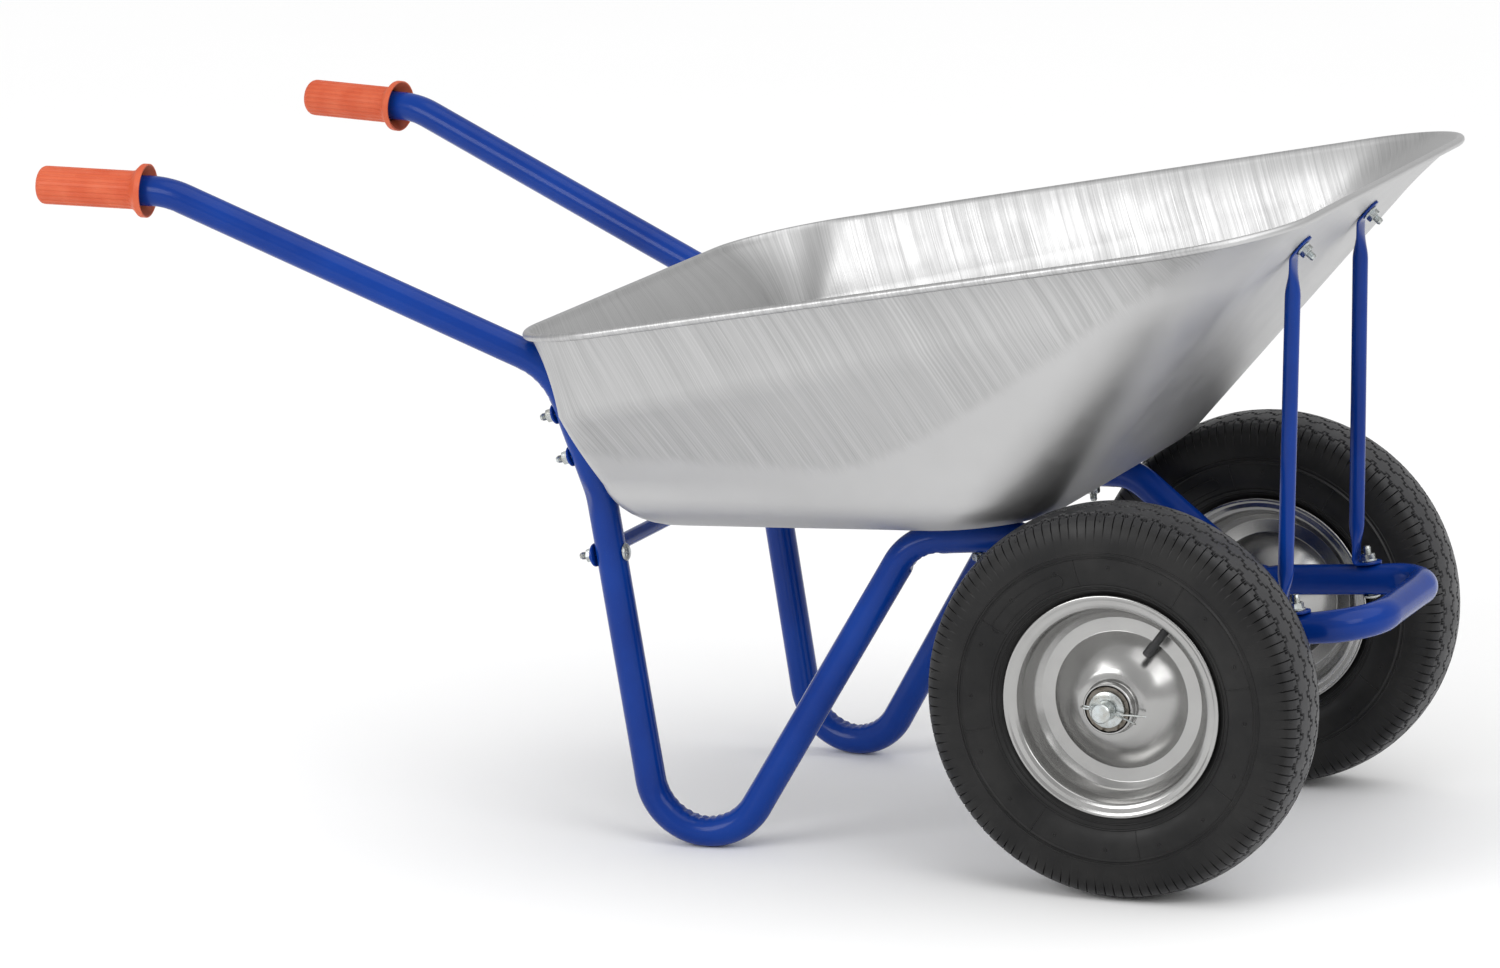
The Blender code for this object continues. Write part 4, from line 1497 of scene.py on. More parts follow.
        def place(row: int, column: int) -> Vector:
            """The place of one point of the sheet."""
            return self.oil_can(levels[row][column % count][0])

        def unwrap(row: int, column: int) -> tuple[float, float]:
            """Distance round the rim, leaned forward on the sides, and height, as a UV point."""
            point, way = levels[row][column % count]
            rim = measured[column % count][0]
            lean = (point.x - rim.x) + self.streak_lean * (point.z - rim.z)
            return around[column] - way.y * lean, point.z

        tray = shaped_grid(
            "tray_sheet", len(levels) - 1, count, place, unwrap, ("rise", self.rise)
        )
        soften(tray, 50.0)
        return tray


# ---- fasteners ------------------------------------------------------------------------
class NutKind(Enum):
    """The two kinds of nut on the barrow."""

    PLAIN = "plain"
    FLANGED = "flanged"


@dataclass
class Fasteners:
    """M8 bolts, nuts and washers, and where each joint is."""

    route: FrameRoute
    stays: Stays
    tray: Tray
    shank: float = 0.0040
    pitch: float = 0.00125
    head_radius: float = 0.0092
    head_height: float = 0.0042
    nut_flat: float = 0.0065
    nut_height: float = 0.0075
    washer_radius: float = 0.0105
    washer_thickness: float = 0.0025
    washer_play: float = 0.0004
    ease: float = 0.0005
    overhang: float = 0.0080
    gap: float = 0.0003

    def bolt(self, name: str, seat: Vector, axis: Vector, reach: float) -> bpy.types.Object:
        """A dome-headed bolt, threaded where it shows.

        Args:
            name: the piece's name.
            seat: the middle of the head's seat.
            axis: the way that the shank runs.
            reach: the shank's length.

        Returns:
            The bolt.
        """
        dome = [
            (self.head_radius * math.sin(turn), -self.head_height * math.cos(turn))
            for turn in (math.radians(12.0 * step) for step in range(8))
        ]
        outline: Outline = [(0.0, -self.head_height), *dome[1:], (self.head_radius, 0.0)]
        outline.append((self.shank * 0.94, 0.0))
        thread_from = reach - self.overhang - self.nut_height - 0.004
        count = int((reach - 0.0015 - thread_from) / self.pitch)
        for turn in range(count):
            start = thread_from + turn * self.pitch
            outline.append((self.shank * 0.86, start))
            outline.append((self.shank, start + 0.5 * self.pitch))
        outline += [(self.shank * 0.86, reach - 0.0012), (self.shank * 0.72, reach), (0.0, reach)]
        piece = turned(name, outline, seat, axis, 28)
        soften(piece, 28.0)
        return piece

    def nut(self, name: str, seat: Vector, axis: Vector, kind: NutKind) -> bpy.types.Object:
        """A chamfered hexagon nut, with or without a flange.

        Args:
            name: the piece's name.
            seat: the middle of its seat.
            axis: the way from its seat to its top.
            kind: plain or flanged.

        Returns:
            The nut.
        """
        bore = self.shank + 0.0001
        corner = self.nut_flat / math.cos(math.pi / 6.0)
        top = self.nut_height
        outline: Outline = [(bore, 0.0)]
        if kind is NutKind.FLANGED:
            outline += [(self.washer_radius * 0.86, 0.0), (self.washer_radius * 0.86, 0.0007)]
            outline += [(self.washer_radius * 0.80, 0.0011), (corner, 0.0020)]
            first_hex = len(outline) - 1
        else:
            outline += [(self.nut_flat * 0.96, 0.0), (corner, 0.0007)]
            first_hex = 2
        outline += [(corner, top - 0.0014), (corner * 0.955, top - 0.0005)]
        last_hex = len(outline) - 1
        outline += [(self.nut_flat * 0.93, top), (bore + 0.0006, top), (bore, top - 0.0006)]
        sixth = math.pi / 3.0

        def radius_at(index: int, angle: float) -> float:
            """The nut's radius at an outline point and an angle."""
            radius = outline[index][0]
            if first_hex <= index <= last_hex:
                off_flat = (angle + sixth / 2.0) % sixth - sixth / 2.0
                radius = min(radius, self.nut_flat / math.cos(off_flat))
            return radius

        piece = polar_piece(name, outline, seat, axis, 48, radius_at)
        soften(piece, 25.0)
        return piece

    def washer(self, name: str, seat: Vector, axis: Vector) -> bpy.types.Object:
        """A thick washer with rounded edges.

        Args:
            name: the piece's name.
            seat: the middle of its lower face.
            axis: the way through it.

        Returns:
            The washer.
        """
        outline = ring_outline(
            self.shank + self.washer_play, self.washer_radius, self.washer_thickness, self.ease
        )
        piece = turned(name, outline, seat, axis, 40)
        soften(piece, 50.0)
        return piece

    def fasten(
        self,
        box: Paintbox,
        name: str,
        middle: Vector,
        axis: Vector,
        head_at: float,
        nut_at: float,
        kind: NutKind,
        washer: bool = False,
    ) -> None:
        """A bolt with its nut, and a washer where the joint has one.

        Args:
            box: the finishes.
            name: the joint's name.
            middle: a point on the bolt's axis.
            axis: the way from the nut to the head.
            head_at: how far along it the head sits.
            nut_at: how far against it the nut sits.
            kind: the nut's kind.
            washer: whether a washer lies under the nut.
        """
        head_seat = middle + axis * (head_at + self.gap)
        nut_seat = middle - axis * (nut_at + self.gap)
        if washer:
            ring = self.washer(f"{name}_washer_thick", nut_seat, -axis)
            box.fit(ring, Slot.PAINT, "frame", [f"{name}_washer"])
            nut_seat = nut_seat - axis * (self.washer_thickness + self.gap)
        reach = (head_seat - nut_seat).length + self.nut_height + self.overhang
        bolt = self.bolt(f"{name}_bolt_threaded", head_seat, -axis, reach)
        box.fit(bolt, Slot.ZINC, "frame", [f"{name}_bolt"])
        nut = self.nut(f"{name}_nut_chamfered", nut_seat, -axis, kind)
        box.fit(nut, Slot.ZINC, "frame", [f"{name}_nut"])

    def build(self, box: Paintbox) -> None:
        """Make every bolted joint of the frame.

        Args:
            box: the finishes.
        """
        route = self.route
        tube = route.tube_radius
        stay_flat = 2.0 * self.stays.flat_half + self.gap
        tray_inside = tube + self.tray.clearance + self.tray.sheet
        rear_normal = route.across(route.shoulder, route.knee)
        leg_normal = route.across(route.knee, route.foot)
        floor_normal = route.across(route.tray_rear, route.tray_front)
        run_normal = route.across(route.dip, route.loop)
        for side in Side:
            for level, share in route.rear_bolt_shares.items():
                spot = at(route.shoulder.corner.lerp(route.knee.corner, share), side)
                self.fasten(
                    box, f"tray_rear_{level}_{side.label}", spot, rear_normal,
                    tray_inside, tube, NutKind.PLAIN, washer=True,
                )
            self.fasten(
                box, f"brace_{side.label}", at(route.brace_end(), side), leg_normal,
                tube, tube + stay_flat, NutKind.PLAIN,
            )
            self.fasten(
                box, f"tray_floor_{side.label}", at(route.floor_bolt(), side), floor_normal,
                tray_inside, tube, NutKind.PLAIN,
            )
            self.fasten(
                box, f"strut_foot_{side.label}", at(route.strut_foot(), side), -run_normal,
                tube, tube + stay_flat, NutKind.FLANGED,
            )
            self.fasten(
                box, f"strut_head_{side.label}", at(self.stays.strut_head(), side),
                -self.stays.wall_normal(), self.tray.sheet, stay_flat, NutKind.FLANGED,
            )


# ---- grips ----------------------------------------------------------------------------
@dataclass
class Grips:
    """Fluted sleeves, closed and rounded at the rear, flared open at the front."""

    route: FrameRoute
    body_radius: float = 0.0200
    flutes: int = 22
    flute_depth: float = 0.0009
    length: float = 0.1145
    flare_radius: float = 0.0280
    steps_per_flute: int = 8

    def outline(self) -> Outline:
        """The sleeve's section.

        Returns:
            Its outline, from the closed end over the outside to the bore.
        """
        bore = self.route.tube_radius + 0.0003
        body, flare_radius = self.body_radius, self.flare_radius
        open_end = -self.length
        end_cap = rounded_outline([(0.0, 0.0055), (body, 0.0052), (body, -0.030)], [0.0070], 12.0)
        flare = rounded_outline(
            [(body, -0.092), (body, -0.1005), (flare_radius, -0.1085), (flare_radius, open_end)],
            [0.008, 0.0025],
        )
        mouth = [(flare_radius - 0.0007, open_end - 0.0004), (flare_radius - 0.0018, open_end)]
        throat_corners = [
            (flare_radius - 0.0026, open_end + 0.0015), (bore + 0.0016, -0.1040),
            (bore, -0.0980), (bore, -0.0940),
        ]
        throat = rounded_outline(throat_corners, [0.003, 0.004])
        return [*end_cap, (body, -0.060), *flare, *mouth, *throat, (bore, -0.0003), (0.0, -0.0003)]

    def build(self, box: Paintbox) -> None:
        """Make both grips.

        Args:
            box: the finishes.
        """
        outline = self.outline()
        body = self.body_radius

        def radius_at(index: int, angle: float) -> float:
            """The sleeve's radius, cut by its flutes along the body."""
            radius, along = outline[index]
            if radius < body - 0.0025 or along < -0.1015 or radius > body + 0.002:
                return radius
            if index > len(outline) - 3:
                return radius
            share = math.cos(angle * self.flutes)
            groove = max(0.0, (share - 0.10) / 0.90) ** 0.7
            return radius - self.flute_depth * groove

        for side in Side:
            end = at(self.route.grip_end.corner, side)
            axis = (end - at(self.route.handle.corner, side)).normalized()
            steps = self.flutes * self.steps_per_flute
            grip = polar_piece(f"grip_{side.label}_fluted", outline, end, axis, steps, radius_at)
            soften(grip, 38.0)
            box.fit(grip, Slot.GRIP, "frame", [f"grip_{side.label}"])


# ---- wheels ---------------------------------------------------------------------------
@dataclass
class Tyre:
    """A pneumatic tyre: a smooth carcass under a tread cap cut with stepped grooves."""

    radius: float = 0.2000
    steps: int = 248                 # stair steps of the grooves round the wheel
    groove_half: float = 0.0013
    groove_depth: float = 0.0045
    rows: tuple[float, ...] = (-0.0285, -0.0095, 0.0095, 0.0285)
    stair: tuple[float, ...] = (-0.0045, 0.0, 0.0045, 0.0)
    crown_half: float = 0.0355
    cut_half: float = 0.14           # half width of a shoulder cut, in stair steps
    cut_shallow: float = 0.0005
    cut_deep: float = 0.0032
    cut_full_at: float = 0.1900      # radius at which a shoulder cut has its full depth
    cap_from: float = 0.1600
    carcass_steps: int = 180
    wall_lines: int = 8
    shoulder_hairs: int = 54

    def wall(self) -> Outline:
        """The outer half section, smoothed.

        Returns:
            Its points, from the bead to the crown's edge.
        """
        rough = [
            (0.1030, 0.0312), (0.1060, 0.0330), (0.1145, 0.0332), (0.1190, 0.0368),
            (0.1270, 0.0428), (0.1380, 0.0462), (0.1500, 0.0474), (0.1530, 0.0474),
            (0.1545, 0.0486), (0.1562, 0.0470), (0.1600, 0.0467), (0.1660, 0.0461),
            (0.1730, 0.0450), (0.1790, 0.0434), (0.1840, 0.0416), (0.1885, 0.0396),
            (0.1918, 0.0375),
        ]
        return smooth_line(rough, 2)

    def crown_radius(self, out: float) -> float:
        """The radius of the crown at a distance from the tyre's middle plane."""
        return self.radius - 0.0034 * (abs(out) / 0.0270) ** 2.2

    def crown_lines(self) -> list[float]:
        """Distances from the middle plane at which the crown needs a line of points."""
        lines = {0.0, -self.crown_half, self.crown_half}
        for middle in self.rows:
            for step in set(self.stair):
                for edge in (-self.groove_half, 0.0, self.groove_half):
                    lines.add(round(middle + step + edge, 5))
        return sorted(lines)

    def turns(self) -> list[float]:
        """Places round the wheel, in stair steps, at which the tread needs points."""
        edge = self.groove_half * self.steps / (FULL_TURN * self.radius)
        places = []
        for number in range(self.steps):
            within = [0.0, edge, 1.0 - edge]
            if number % 2 == 0:
                within[2:2] = [0.5 - self.cut_half, 0.5, 0.5 + self.cut_half]
            places += [number + share for share in within]
        return places

    def depth(self, radius: float, out: float, turn: float) -> float:
        """How deep the tread is cut at a point of the skin.

        Args:
            radius: the point's distance from the axle.
            out: its distance from the tyre's middle plane.
            turn: its place round the wheel, in stair steps.

        Returns:
            The depth, along the radius.
        """
        number = int(turn)
        share = turn - number
        near = 1e-5
        cut = 0.0
        if abs(out) < self.crown_half:
            for row, middle in enumerate(self.rows):
                flip = 1.0 if row % 2 else -1.0
                here = middle + flip * self.stair[number % 4]
                before = middle + flip * self.stair[(number - 1) % 4]
                between = min(here, before) - near < out < max(here, before) + near
                if (share < near and between) or abs(out - here) < near:
                    cut = self.groove_depth
        if abs(share - 0.5) < 0.01 and number % 2 == 0 and abs(out) > self.rows[-1]:
            rise = held((radius - self.cap_from) / (self.cut_full_at - self.cap_from))
            deep = self.cut_shallow + (self.cut_deep - self.cut_shallow) * rise ** 3
            cut = max(cut, deep)
        return cut

    def cap(self, centre: Vector) -> bpy.types.Object:
        """The tread cap, from shoulder to shoulder, with its underside."""
        shoulder = [point for point in self.wall() if point[0] >= self.cap_from - 1e-6][::2]
        crown = [(self.crown_radius(out), out) for out in reversed(self.crown_lines())]
        skin = shoulder + crown + [(radius, -out) for radius, out in reversed(shoulder)]
        under = [
            (0.1592, -0.0440), (0.1840, -0.0360), (0.1930, 0.0), (0.1840, 0.0360), (0.1592, 0.0440),
        ]
        outline = skin + under
        turns = self.turns()

        def place(row: int, column: int) -> Vector:
            """The place of one point of the cap."""
            index = row % len(outline)
            turn = turns[column % len(turns)]
            radius, out = outline[index]
            if 0 < index < len(skin) - 1:
                radius -= self.depth(radius, out, turn)
            return centre + spoke_at(FULL_TURN * turn / self.steps) * radius + LEFTWARD * out

        return shaped_grid("tread_cap", len(outline), len(turns), place)

    def carcass(self, centre: Vector) -> bpy.types.Object:
        """The tyre's walls and the body under the tread."""
        wall = [point for point in self.wall() if point[0] <= self.cap_from + 0.0010]
        shoulder = [
            (0.1640, 0.0452), (0.1780, 0.0420), (0.1850, 0.0375), (0.1905, 0.0290), (0.1935, 0.0),
        ]
        outer = wall + shoulder
        inner = [
            (0.1030, 0.0220), (0.1120, 0.0300), (0.1280, 0.0395), (0.1500, 0.0440),
            (0.1730, 0.0410), (0.1840, 0.0330), (0.1880, 0.0120),
        ]
        skin = outer + [(radius, -out) for radius, out in outer[-2::-1]]
        inside = [(radius, -out) for radius, out in inner] + inner[::-1]
        return polar_piece(
            "tyre_carcass", skin + inside, centre, LEFTWARD, self.carcass_steps,
            lambda index, _: (skin + inside)[index][0],
        )

    def build(self, centre: Vector, name: str) -> bpy.types.Object:
        """Make the carcass and its tread cap, with the fine marks of the mould.

        Args:
            centre: the wheel's middle.
            name: the tyre's name.

        Returns:
            The tyre.
        """
        shells = [self.cap(centre), self.carcass(centre)]
        for shell in shells:
            soften(shell, 30.0)
        return joined(name, [*shells, *self.wall_marks(centre), *self.hairs(centre)])

    def out_at(self, radius: float) -> float:
        """How far out the wall lies at a radius.

        Args:
            radius: the distance from the axle.

        Returns:
            The distance from the tyre's middle plane.
        """
        half = self.wall()
        for start, end in zip(half, half[1:]):
            if start[0] <= radius <= end[0]:
                return start[1] + (end[1] - start[1]) * (radius - start[0]) / (end[0] - start[0])
        return half[-1][1]

    def on_wall(self, centre: Vector, face: float, radius: float, turn: float) -> Vector:
        """A point of the wall.

        Args:
            centre: the wheel's middle.
            face: one for the left face, minus one for the right one.
            radius: the point's distance from the axle.
            turn: its angle round the wheel.

        Returns:
            The point.
        """
        return centre + spoke_at(turn) * radius + LEFTWARD * face * self.out_at(radius)

    def wall_marks(self, centre: Vector) -> list[bpy.types.Object]:
        """Raised rings, radial lines, ring dots and an empty frame on both walls.

        Args:
            centre: the wheel's middle.

        Returns:
            The marks.
        """
        lines: list[tuple[Outline, float]] = []
        for radius, thick in ((0.1245, 0.0013), (0.1195, 0.0009), (0.1585, 0.0008)):
            lines.append(([(radius, 2.5 * step) for step in range(145)], thick))
        for number in range(self.wall_lines):
            angle = 360.0 * (number + 0.28) / self.wall_lines
            lines.append(([(0.1250 + 0.0285 * step / 6.0, angle) for step in range(7)], 0.00060))
            for shift in (9.0, 31.0):
                dot = [
                    (0.1440 + 0.0014 * math.cos(turn), angle + shift + 0.56 * math.sin(turn))
                    for turn in (FULL_TURN * step / 12.0 for step in range(13))
                ]
                lines.append((dot, 0.00075))
        lines.append((self.empty_frame(), 0.00060))
        return [
            self.ridge(centre, face, line, thick) for face in (-1.0, 1.0) for line, thick in lines
        ]

    def empty_frame(self) -> Outline:
        """A long frame with round ends and nothing in it.

        Returns:
            Its points as (radius, angle in degrees).
        """
        turns = [math.pi * (step / 8.0 - 0.5) for step in range(1, 9)]
        line = [(0.1300, 112.0 + 1.7 * step) for step in range(21)]
        line += [(0.1365 + 0.0065 * math.sin(t), 146.0 + 2.8 * math.cos(t)) for t in turns[:-1]]
        line += [(0.1430, 146.0 - 1.7 * step) for step in range(21)]
        return line + [
            (0.1365 - 0.0065 * math.sin(t), 112.0 - 2.8 * math.cos(t)) for t in turns
        ]

    def ridge(
        self, centre: Vector, face: float, line: list[tuple[float, float]], thick: float
    ) -> bpy.types.Object:
        """A fine raised line on the wall.

        Args:
            centre: the wheel's middle.
            face: the wall that it lies on.
            line: its points as (radius, angle in degrees).
            thick: its half thickness.

        Returns:
            The ridge.
        """
        points = [
            self.on_wall(centre, face, radius, math.radians(angle)) for radius, angle in line
        ]
        stations = []
        for index, middle in enumerate(points):
            before = points[max(index - 1, 0)]
            after = points[min(index + 1, len(points) - 1)]
            across = (after - before).cross(LEFTWARD).normalized()
            stations.append(Station(middle, across, LEFTWARD * face))
        ridge = swept("wall_ridge", stations, round_bar(thick), 6)
        soften(ridge, 70.0)
        return ridge

    def hairs(self, centre: Vector) -> list[bpy.types.Object]:
        """Short moulding hairs that stand off the shoulders.

        Args:
            centre: the wheel's middle.

        Returns:
            The hairs.
        """
        made = []
        for number in range(self.shoulder_hairs):
            turn = FULL_TURN * (number + 0.3 * math.sin(7.0 * number)) / self.shoulder_hairs
            face = 1.0 if number % 2 else -1.0
            root = self.on_wall(centre, face, 0.1885, turn)
            spoke = (root - centre - LEFTWARD * (root - centre).dot(LEFTWARD)).normalized()
            way = (spoke * 0.9 + LEFTWARD * face * 0.5 + Vector((0.2, 0.0, 0.1))).normalized()
            length = 0.0034 + 0.0012 * math.cos(5.0 * number)
            clear_bench()
            bpy.ops.mesh.primitive_cone_add(
                vertices=6, radius1=0.00055, radius2=0.00025, depth=length,
                rotation=way.to_track_quat("Z", "Y").to_euler(),
                location=root + way * (0.5 * length - 0.0006),
            )
            bpy.ops.object.transform_apply(location=True, rotation=True, scale=True)
            made.append(label("shoulder_hair"))
        return made


@dataclass
class Wheel:
    """A pressed two-part rim with its tyre, hub tube and valve."""

    side: Side
    middle_y: float = 0.2367
    sheet_half: float = 0.0008
    hub_radius: float = 0.0260
    hub_bore: float = 0.0236
    hub_half: float = 0.0435
    valve_angle: float = math.radians(56.0)
    valve_foot: tuple[float, float] = (0.1080, 0.0086)
    valve_tip: tuple[float, float] = (0.0640, 0.0300)
    valve_radius: float = 0.0044
    cap_radius: float = 0.0049
    tyre: Tyre = field(default_factory=Tyre)

    def centre(self) -> Vector:
        """The middle of the wheel."""
        return Vector((AXLE.x, self.side.value * self.middle_y, AXLE.z))

    def rim(self, name: str, outward: float) -> bpy.types.Object:
        """One pressed half of the rim.

        Args:
            name: the piece's name.
            outward: one for the half that faces away from the barrow, minus one for the other.

        Returns:
            The rim half.
        """
        lip = [(0.1133, 0.0352), (0.1132, 0.0358), (0.1127, 0.0363), (0.1118, 0.0365)]
        corners = [
            (0.1106, 0.0362), (0.1088, 0.0350), (0.1040, 0.0345), (0.1003, 0.0325),
            (0.0985, 0.0180), (0.0920, 0.0070), (0.0845, 0.0013), (0.0700, 0.0013),
            (0.0655, 0.0050), (0.0470, 0.0205), (0.0350, 0.0276), (0.0269, 0.0290),
        ]
        bends = [0.0025, 0.0040, 0.0030, 0.0200, 0.0120, 0.0022, 0.0022, 0.0100, 0.0600, 0.0150]
        well = rounded_outline(corners, bends, 8.0)
        middle = [(radius, out * outward) for radius, out in lip + well]
        axis = LEFTWARD * self.side.value
        half = turned(name, thickened(middle, self.sheet_half), self.centre(), axis, 144)
        soften(half, 40.0)
        return half

    def hub(self, name: str) -> bpy.types.Object:
        """The hub tube, with eased rims and a weld collar on each side of the disc.

        Args:
            name: the piece's name.

        Returns:
            The hub tube.
        """
        ease = 0.0006
        outer, bore, half = self.hub_radius, self.hub_bore, self.hub_half
        collar = [(outer, 0.0335), (outer + 0.0016, 0.0318), (outer + 0.0019, 0.0305)]
        right = [(bore + ease, half), (outer - ease, half), (outer, half - ease), *collar]
        left = [(radius, -along) for radius, along in reversed(right)]
        hub = turned(name, right + left, self.centre(), LEFTWARD * self.side.value, 96)
        soften(hub, 35.0)
        return hub

    def valve(self, name: str) -> bpy.types.Object:
        """The valve stem, with its rubber foot, threads and ribbed cap.

        Args:
            name: the piece's name.

        Returns:
            The stem.
        """
        spoke = spoke_at(self.valve_angle)
        outward = LEFTWARD * self.side.value
        foot = self.centre() + spoke * self.valve_foot[0] + outward * self.valve_foot[1]
        tip = self.centre() + spoke * self.valve_tip[0] + outward * self.valve_tip[1]
        length = (tip - foot).length
        stem, cap = self.valve_radius, self.cap_radius
        outline: Outline = [(0.0, 0.0), (0.0062, 0.0), (0.0060, 0.0030), (stem + 0.0004, 0.0062)]
        ring_from, ring_to = 0.0080, length - 0.0145
        count = int((ring_to - ring_from) / 0.0030)
        for turn in range(count):
            start = ring_from + turn * 0.0030
            outline += [(stem, start), (stem - 0.0003, start + 0.0004), (stem, start + 0.0008)]
        outline += [(stem - 0.0003, ring_to), (cap - 0.0003, ring_to), (cap, ring_to + 0.0004)]
        first_rib = len(outline) - 1
        outline.append((cap, length - 0.0022))
        outline += [(cap - 0.0008, length - 0.0006), (cap - 0.0022, length), (0.0, length)]

        def radius_at(index: int, angle: float) -> float:
            """The stem's radius, ribbed along the cap."""
            radius = outline[index][0]
            if first_rib <= index <= first_rib + 1:
                radius -= 0.00025 * (1.0 + math.cos(16.0 * angle))
            return radius

        valve = polar_piece(name, outline, foot, (tip - foot).normalized(), 64, radius_at)
        soften(valve, 35.0)
        return valve

    def build(self, box: Paintbox) -> None:
        """Make the wheel's pieces, with their finishes, and let them turn with it.

        Args:
            box: the finishes.
        """
        word = self.side.label
        parts = {
            "tyre": (self.tyre.build(self.centre(), f"tyre_{word}_treaded"), Slot.TYRE),
            "rim_outer": (self.rim(f"rim_outer_{word}_pressed", 1.0), Slot.RIM),
            "rim_inner": (self.rim(f"rim_inner_{word}_pressed", -1.0), Slot.RIM),
            "hub_tube": (self.hub(f"hub_tube_{word}_collared"), Slot.RIM),
            "valve_stem": (self.valve(f"valve_stem_{word}_capped"), Slot.TUBE),
        }
        for plain, (piece, slot) in parts.items():
            box.fit(piece, slot, self.side.wheel_body, [f"{plain}_{word}"])


@dataclass
class AxleSet:
    """The fixed axle, its hangers, spacers, washers and split pins."""

    route: FrameRoute
    radius: float = 0.010
    half_length: float = 0.302
    chamfer: float = 0.0012
    wheel_y: float = 0.2367
    hub_half: float = 0.0435
    gap: float = 0.0003
    sleeve_radius: float = 0.0130
    sleeve_inner: float = 0.1635
    washer_radius: float = 0.0185
    washer_thickness: float = 0.0030
    cotter_y: float = 0.2905
    cotter_tilt: float = math.radians(-9.0)
    wire: float = 0.0010
    ring_ease: float = 0.0004
    plate_half: float = 0.0015
    bracket_inside: float = 0.0166
    bracket_half_length: float = 0.017

    def bar(self) -> bpy.types.Object:
        """The axle, a plain rod with chamfered ends."""
        reach, edge = self.half_length, self.chamfer
        half = [(self.radius, reach - edge), (self.radius - edge, reach), (0.0, reach)]
        outline = [(radius, -along) for radius, along in reversed(half)] + half
        bar = turned("axle_chamfered", outline, AXLE, LEFTWARD, 64)
        soften(bar, 35.0)
        return bar

    def ring(
        self, name: str, side: Side, start: float, thick: float, outer: float
    ) -> bpy.types.Object:
        """A ring round the axle with eased edges.

        Args:
            name: the piece's name.
            side: the side that it sits on.
            start: how far out it begins.
            thick: its length along the axle.
            outer: its outer radius.

        Returns:
            The ring.
        """
        outline = ring_outline(self.radius + self.gap, outer, thick, self.ring_ease)
        foot = Vector((AXLE.x, side.value * start, AXLE.z))
        ring = turned(name, outline, foot, LEFTWARD * side.value, 56)
        soften(ring, 50.0)
        return ring

    def pin(self, name: str, side: Side) -> bpy.types.Object:
        """A split pin: two wires side by side that part at their tips.

        Args:
            name: the piece's name.
            side: the side that it sits on.

        Returns:
            The pin.
        """
        way = Vector((math.cos(self.cotter_tilt), 0.0, math.sin(self.cotter_tilt)))
        outward = LEFTWARD * side.value
        half = [
            (0.0390, 0.0150), (0.0240, 0.0070), (0.0130, 0.00105), (-0.0120, 0.00105),
            (-0.0150, 0.0034), (-0.0190, 0.0042), (-0.0225, 0.0026), (-0.0236, 0.0),
        ]
        path = smooth_line(half + [(along, -out) for along, out in half[-2::-1]], 5)
        middle = Vector((AXLE.x, side.value * self.cotter_y, AXLE.z))
        line = [middle + way * along + outward * out for along, out in path]
        up_way = way.cross(outward).normalized()
        pin = swept(name, stations_along(line, up_way), round_bar(self.wire), 12)
        soften(pin, 50.0)
        return pin

    def hanger(self, name: str, side: Side) -> bpy.types.Object:
        """The folded plate that hangs the axle from the frame's lowest bend.

        Args:
            name: the piece's name.
            side: the side that it sits on.

        Returns:
            The hanger.
        """
        bottom = AXLE.z - self.radius - 0.004
        top = self.route.dip.corner.z + 0.002
        inside = self.bracket_inside + self.plate_half
        low = bottom - self.plate_half
        section = rounded_outline(
            [(-inside, top), (-inside, low), (inside, low), (inside, top)], [0.003, 0.003], 15.0
        )
        run = at(self.route.loop.corner, side) - at(self.route.dip.corner, side)
        share = -self.route.dip.corner.x / (self.route.loop.corner.x - self.route.dip.corner.x)
        over_axle = at(self.route.dip.corner, side) + run * share
        yaw = Matrix.Rotation(math.atan2(run.y, run.x), 3, "Z")
        base = Vector((over_axle.x, over_axle.y, 0.0))
        section_ring = thickened(section, self.plate_half)
        count = len(section_ring)
        half, ease = self.bracket_half_length, 0.0005
        stops = [(-half, ease), (-half + ease, 0.0), (half - ease, 0.0), (half, ease)]
        rows = len(stops)

        def place(row: int, column: int) -> Vector:
            """The place of one point of the folded plate."""
            index = column % count
            nearest = section[index if index < len(section) else count - 1 - index]
            across, up = section_ring[index]
            if row in (0, rows + 1):
                forward = stops[0 if row == 0 else -1][0]
                across, up = nearest
            else:
                forward, inset = stops[row - 1]
                pull = inset / self.plate_half
                across += (nearest[0] - across) * pull
                up += (nearest[1] - up) * pull
            return base + yaw @ Vector((forward, across, up))

        made = shaped_grid(name, rows + 1, count, place)
        soften(made, 35.0)
        return made

    def build(self, box: Paintbox) -> None:
        """Make the axle and what is on it.

        Args:
            box: the finishes.
        """
        box.fit(self.bar(), Slot.ZINC, "frame", ["axle"])
        hub_edge = self.wheel_y + self.hub_half + self.gap
        sleeve_length = self.wheel_y - self.hub_half - self.gap - self.sleeve_inner
        for side in Side:
            word = side.label
            sleeve = self.ring(
                f"axle_sleeve_{word}_eased", side, self.sleeve_inner, sleeve_length,
                self.sleeve_radius,
            )
            box.fit(sleeve, Slot.ZINC, "frame", [f"axle_sleeve_{word}"])
            washer = self.ring(
                f"axle_washer_{word}_eased", side, hub_edge, self.washer_thickness,
                self.washer_radius,
            )
            box.fit(washer, Slot.ZINC, "frame", [f"axle_washer_{word}"])
            pin = self.pin(f"cotter_pin_{word}_split", side)
            box.fit(pin, Slot.ZINC, "frame", [f"cotter_pin_{word}"])
            hanger = self.hanger(f"axle_hanger_{word}_folded", side)
            box.fit(hanger, Slot.PAINT, "frame", [f"axle_bracket_{word}"])


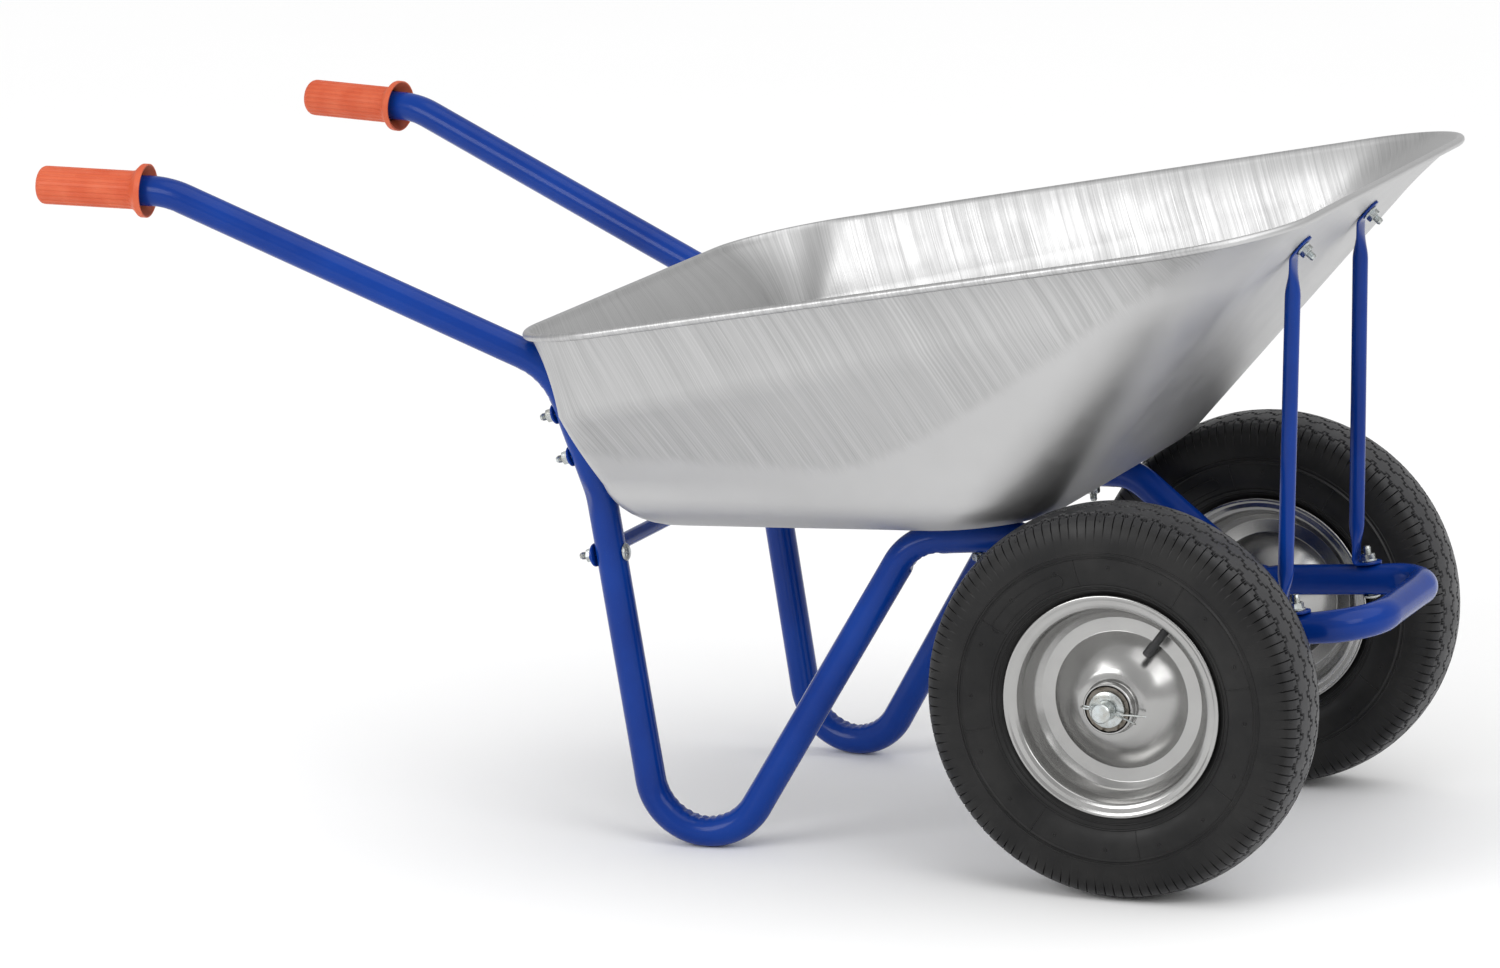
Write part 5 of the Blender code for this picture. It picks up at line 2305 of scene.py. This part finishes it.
# ---- the whole barrow, and the studio ---------------------------------------------------
@dataclass
class Barrow:
    """The finished barrow: every sub-assembly on one frame route."""

    route: FrameRoute = field(default_factory=FrameRoute)
    box: Paintbox = field(default_factory=Paintbox)
    kept: dict[str, Slot] = field(
        default_factory=lambda: {
            "inner_tube": Slot.TUBE, "bearing_outer": Slot.BEARING, "bearing_inner": Slot.BEARING,
        }
    )

    def build(self) -> None:
        """Make every piece, and give the nodes that stay their finishes."""
        stays = Stays(self.route)
        tray = Tray(self.route, stays)
        self.box.fit(FrameTube(self.route).build(), Slot.PAINT, "frame", ["frame_tube"])
        for side in Side:
            strut = stays.strut(side)
            self.box.fit(strut, Slot.PAINT, "frame", [f"front_strut_{side.label}"])
        self.box.fit(stays.brace(), Slot.PAINT, "frame", ["rear_brace"])
        self.box.fit(tray.build(), Slot.SHEET, "frame", ["tray"])
        Fasteners(self.route, stays, tray).build(self.box)
        Grips(self.route).build(self.box)
        AxleSet(self.route).build(self.box)
        for side in Side:
            Wheel(side).build(self.box)
            for plain, slot in self.kept.items():
                self.box.paint_node(f"{plain}_{side.label}", slot)


@dataclass
class Studio:
    """Pale floor, soft lights and the camera."""

    floor_size: float = 60.0
    lens: float = 153.55
    azimuth: float = math.radians(23.4973)
    elevation: float = math.radians(12.0322)
    roll: float = math.radians(-1.4904)
    sensor: float = 36.0
    sun_power: float = 1.34
    sun_spread: float = math.radians(70.0)
    room_white: float = 0.66
    eye: Vector = field(default_factory=lambda: Vector((2.1305, -6.0530, 1.7467)))
    sun_way: Vector = field(default_factory=lambda: Vector((0.48, -0.06, 1.0)))

    def clear(self) -> None:
        """Remove whatever the file opened with."""
        for piece in list(bpy.data.objects):
            if piece.type in {"LIGHT", "CAMERA"} or piece.name == "Cube":
                bpy.data.objects.remove(piece)

    def floor(self) -> None:
        """Lay the floor."""
        clear_bench()
        bpy.ops.mesh.primitive_plane_add(size=self.floor_size)
        floor = label("studio_floor")
        floor.data.materials.append(StudioFloor().material())

    def panel(self, name: str, spot: Vector, size: tuple[float, float], power: float) -> None:
        """Hang a soft light that faces the barrow.

        Args:
            name: the light's name.
            spot: where it hangs.
            size: its width and height.
            power: its power in watts.
        """
        clear_bench()
        bpy.ops.object.light_add(type="AREA", location=spot)
        light = bpy.context.object
        light.name = name
        light.data.shape = "RECTANGLE"
        light.data.size, light.data.size_y = size
        light.data.energy = power
        way = Vector((AXLE.x - 0.3, 0.0, 0.35)) - spot
        light.rotation_euler = way.to_track_quat("-Z", "Y").to_euler()

    def sky(self) -> None:
        """Light everything evenly from a wide part of the sky."""
        clear_bench()
        bpy.ops.object.light_add(type="SUN", location=(0.0, 0.0, 6.0))
        light = bpy.context.object
        light.name = "wide_sky"
        light.data.energy = self.sun_power
        light.data.angle = self.sun_spread
        light.rotation_euler = self.sun_way.to_track_quat("Z", "Y").to_euler()

    def camera(self) -> None:
        """Set the camera at its place."""
        a, e, r = self.azimuth, self.elevation, self.roll
        right = Vector((math.cos(a), math.sin(a), 0.0))
        back = Vector((math.sin(a) * math.cos(e), -math.cos(a) * math.cos(e), math.sin(e)))
        up = back.cross(right)
        turned_right = right * math.cos(r) + up * math.sin(r)
        turned_up = up * math.cos(r) - right * math.sin(r)
        clear_bench()
        bpy.ops.object.camera_add()
        camera = bpy.context.object
        camera.name = "studio_camera"
        camera.data.lens = self.lens
        camera.data.sensor_width = self.sensor
        camera.data.clip_start, camera.data.clip_end = 0.1, 200.0
        turn = Matrix((turned_right, turned_up, back)).transposed().to_4x4()
        spot = self.eye + Vector((AXLE.x, 0.0, 0.0))
        camera.matrix_world = Matrix.Translation(spot) @ turn
        bpy.context.scene.camera = camera

    def build(self) -> None:
        """Set up the floor, the lights and the camera."""
        self.floor()
        self.sky()
        self.panel("near_panel", Vector((-2.3, -4.9, 3.0)), (3.2, 2.6), 120.0)
        self.panel("front_panel", Vector((4.2, -2.6, 2.6)), (2.0, 2.0), 32.0)
        world = bpy.data.worlds.new("white_room")
        bpy.context.scene.world = world
        world.use_nodes = True
        background = world.node_tree.nodes["Background"]
        background.inputs["Color"].default_value = (1.0, 1.0, 1.0, 1.0)
        background.inputs["Strength"].default_value = self.room_white
        self.camera()


def main() -> None:
    """Build the barrow in its studio."""
    logging.basicConfig(level=logging.INFO, format="%(name)s: %(message)s")
    studio = Studio()
    studio.clear()
    Barrow().build()
    studio.build()
    bpy.context.scene.view_settings.view_transform = "Standard"


if __name__ == "__main__":
    main()
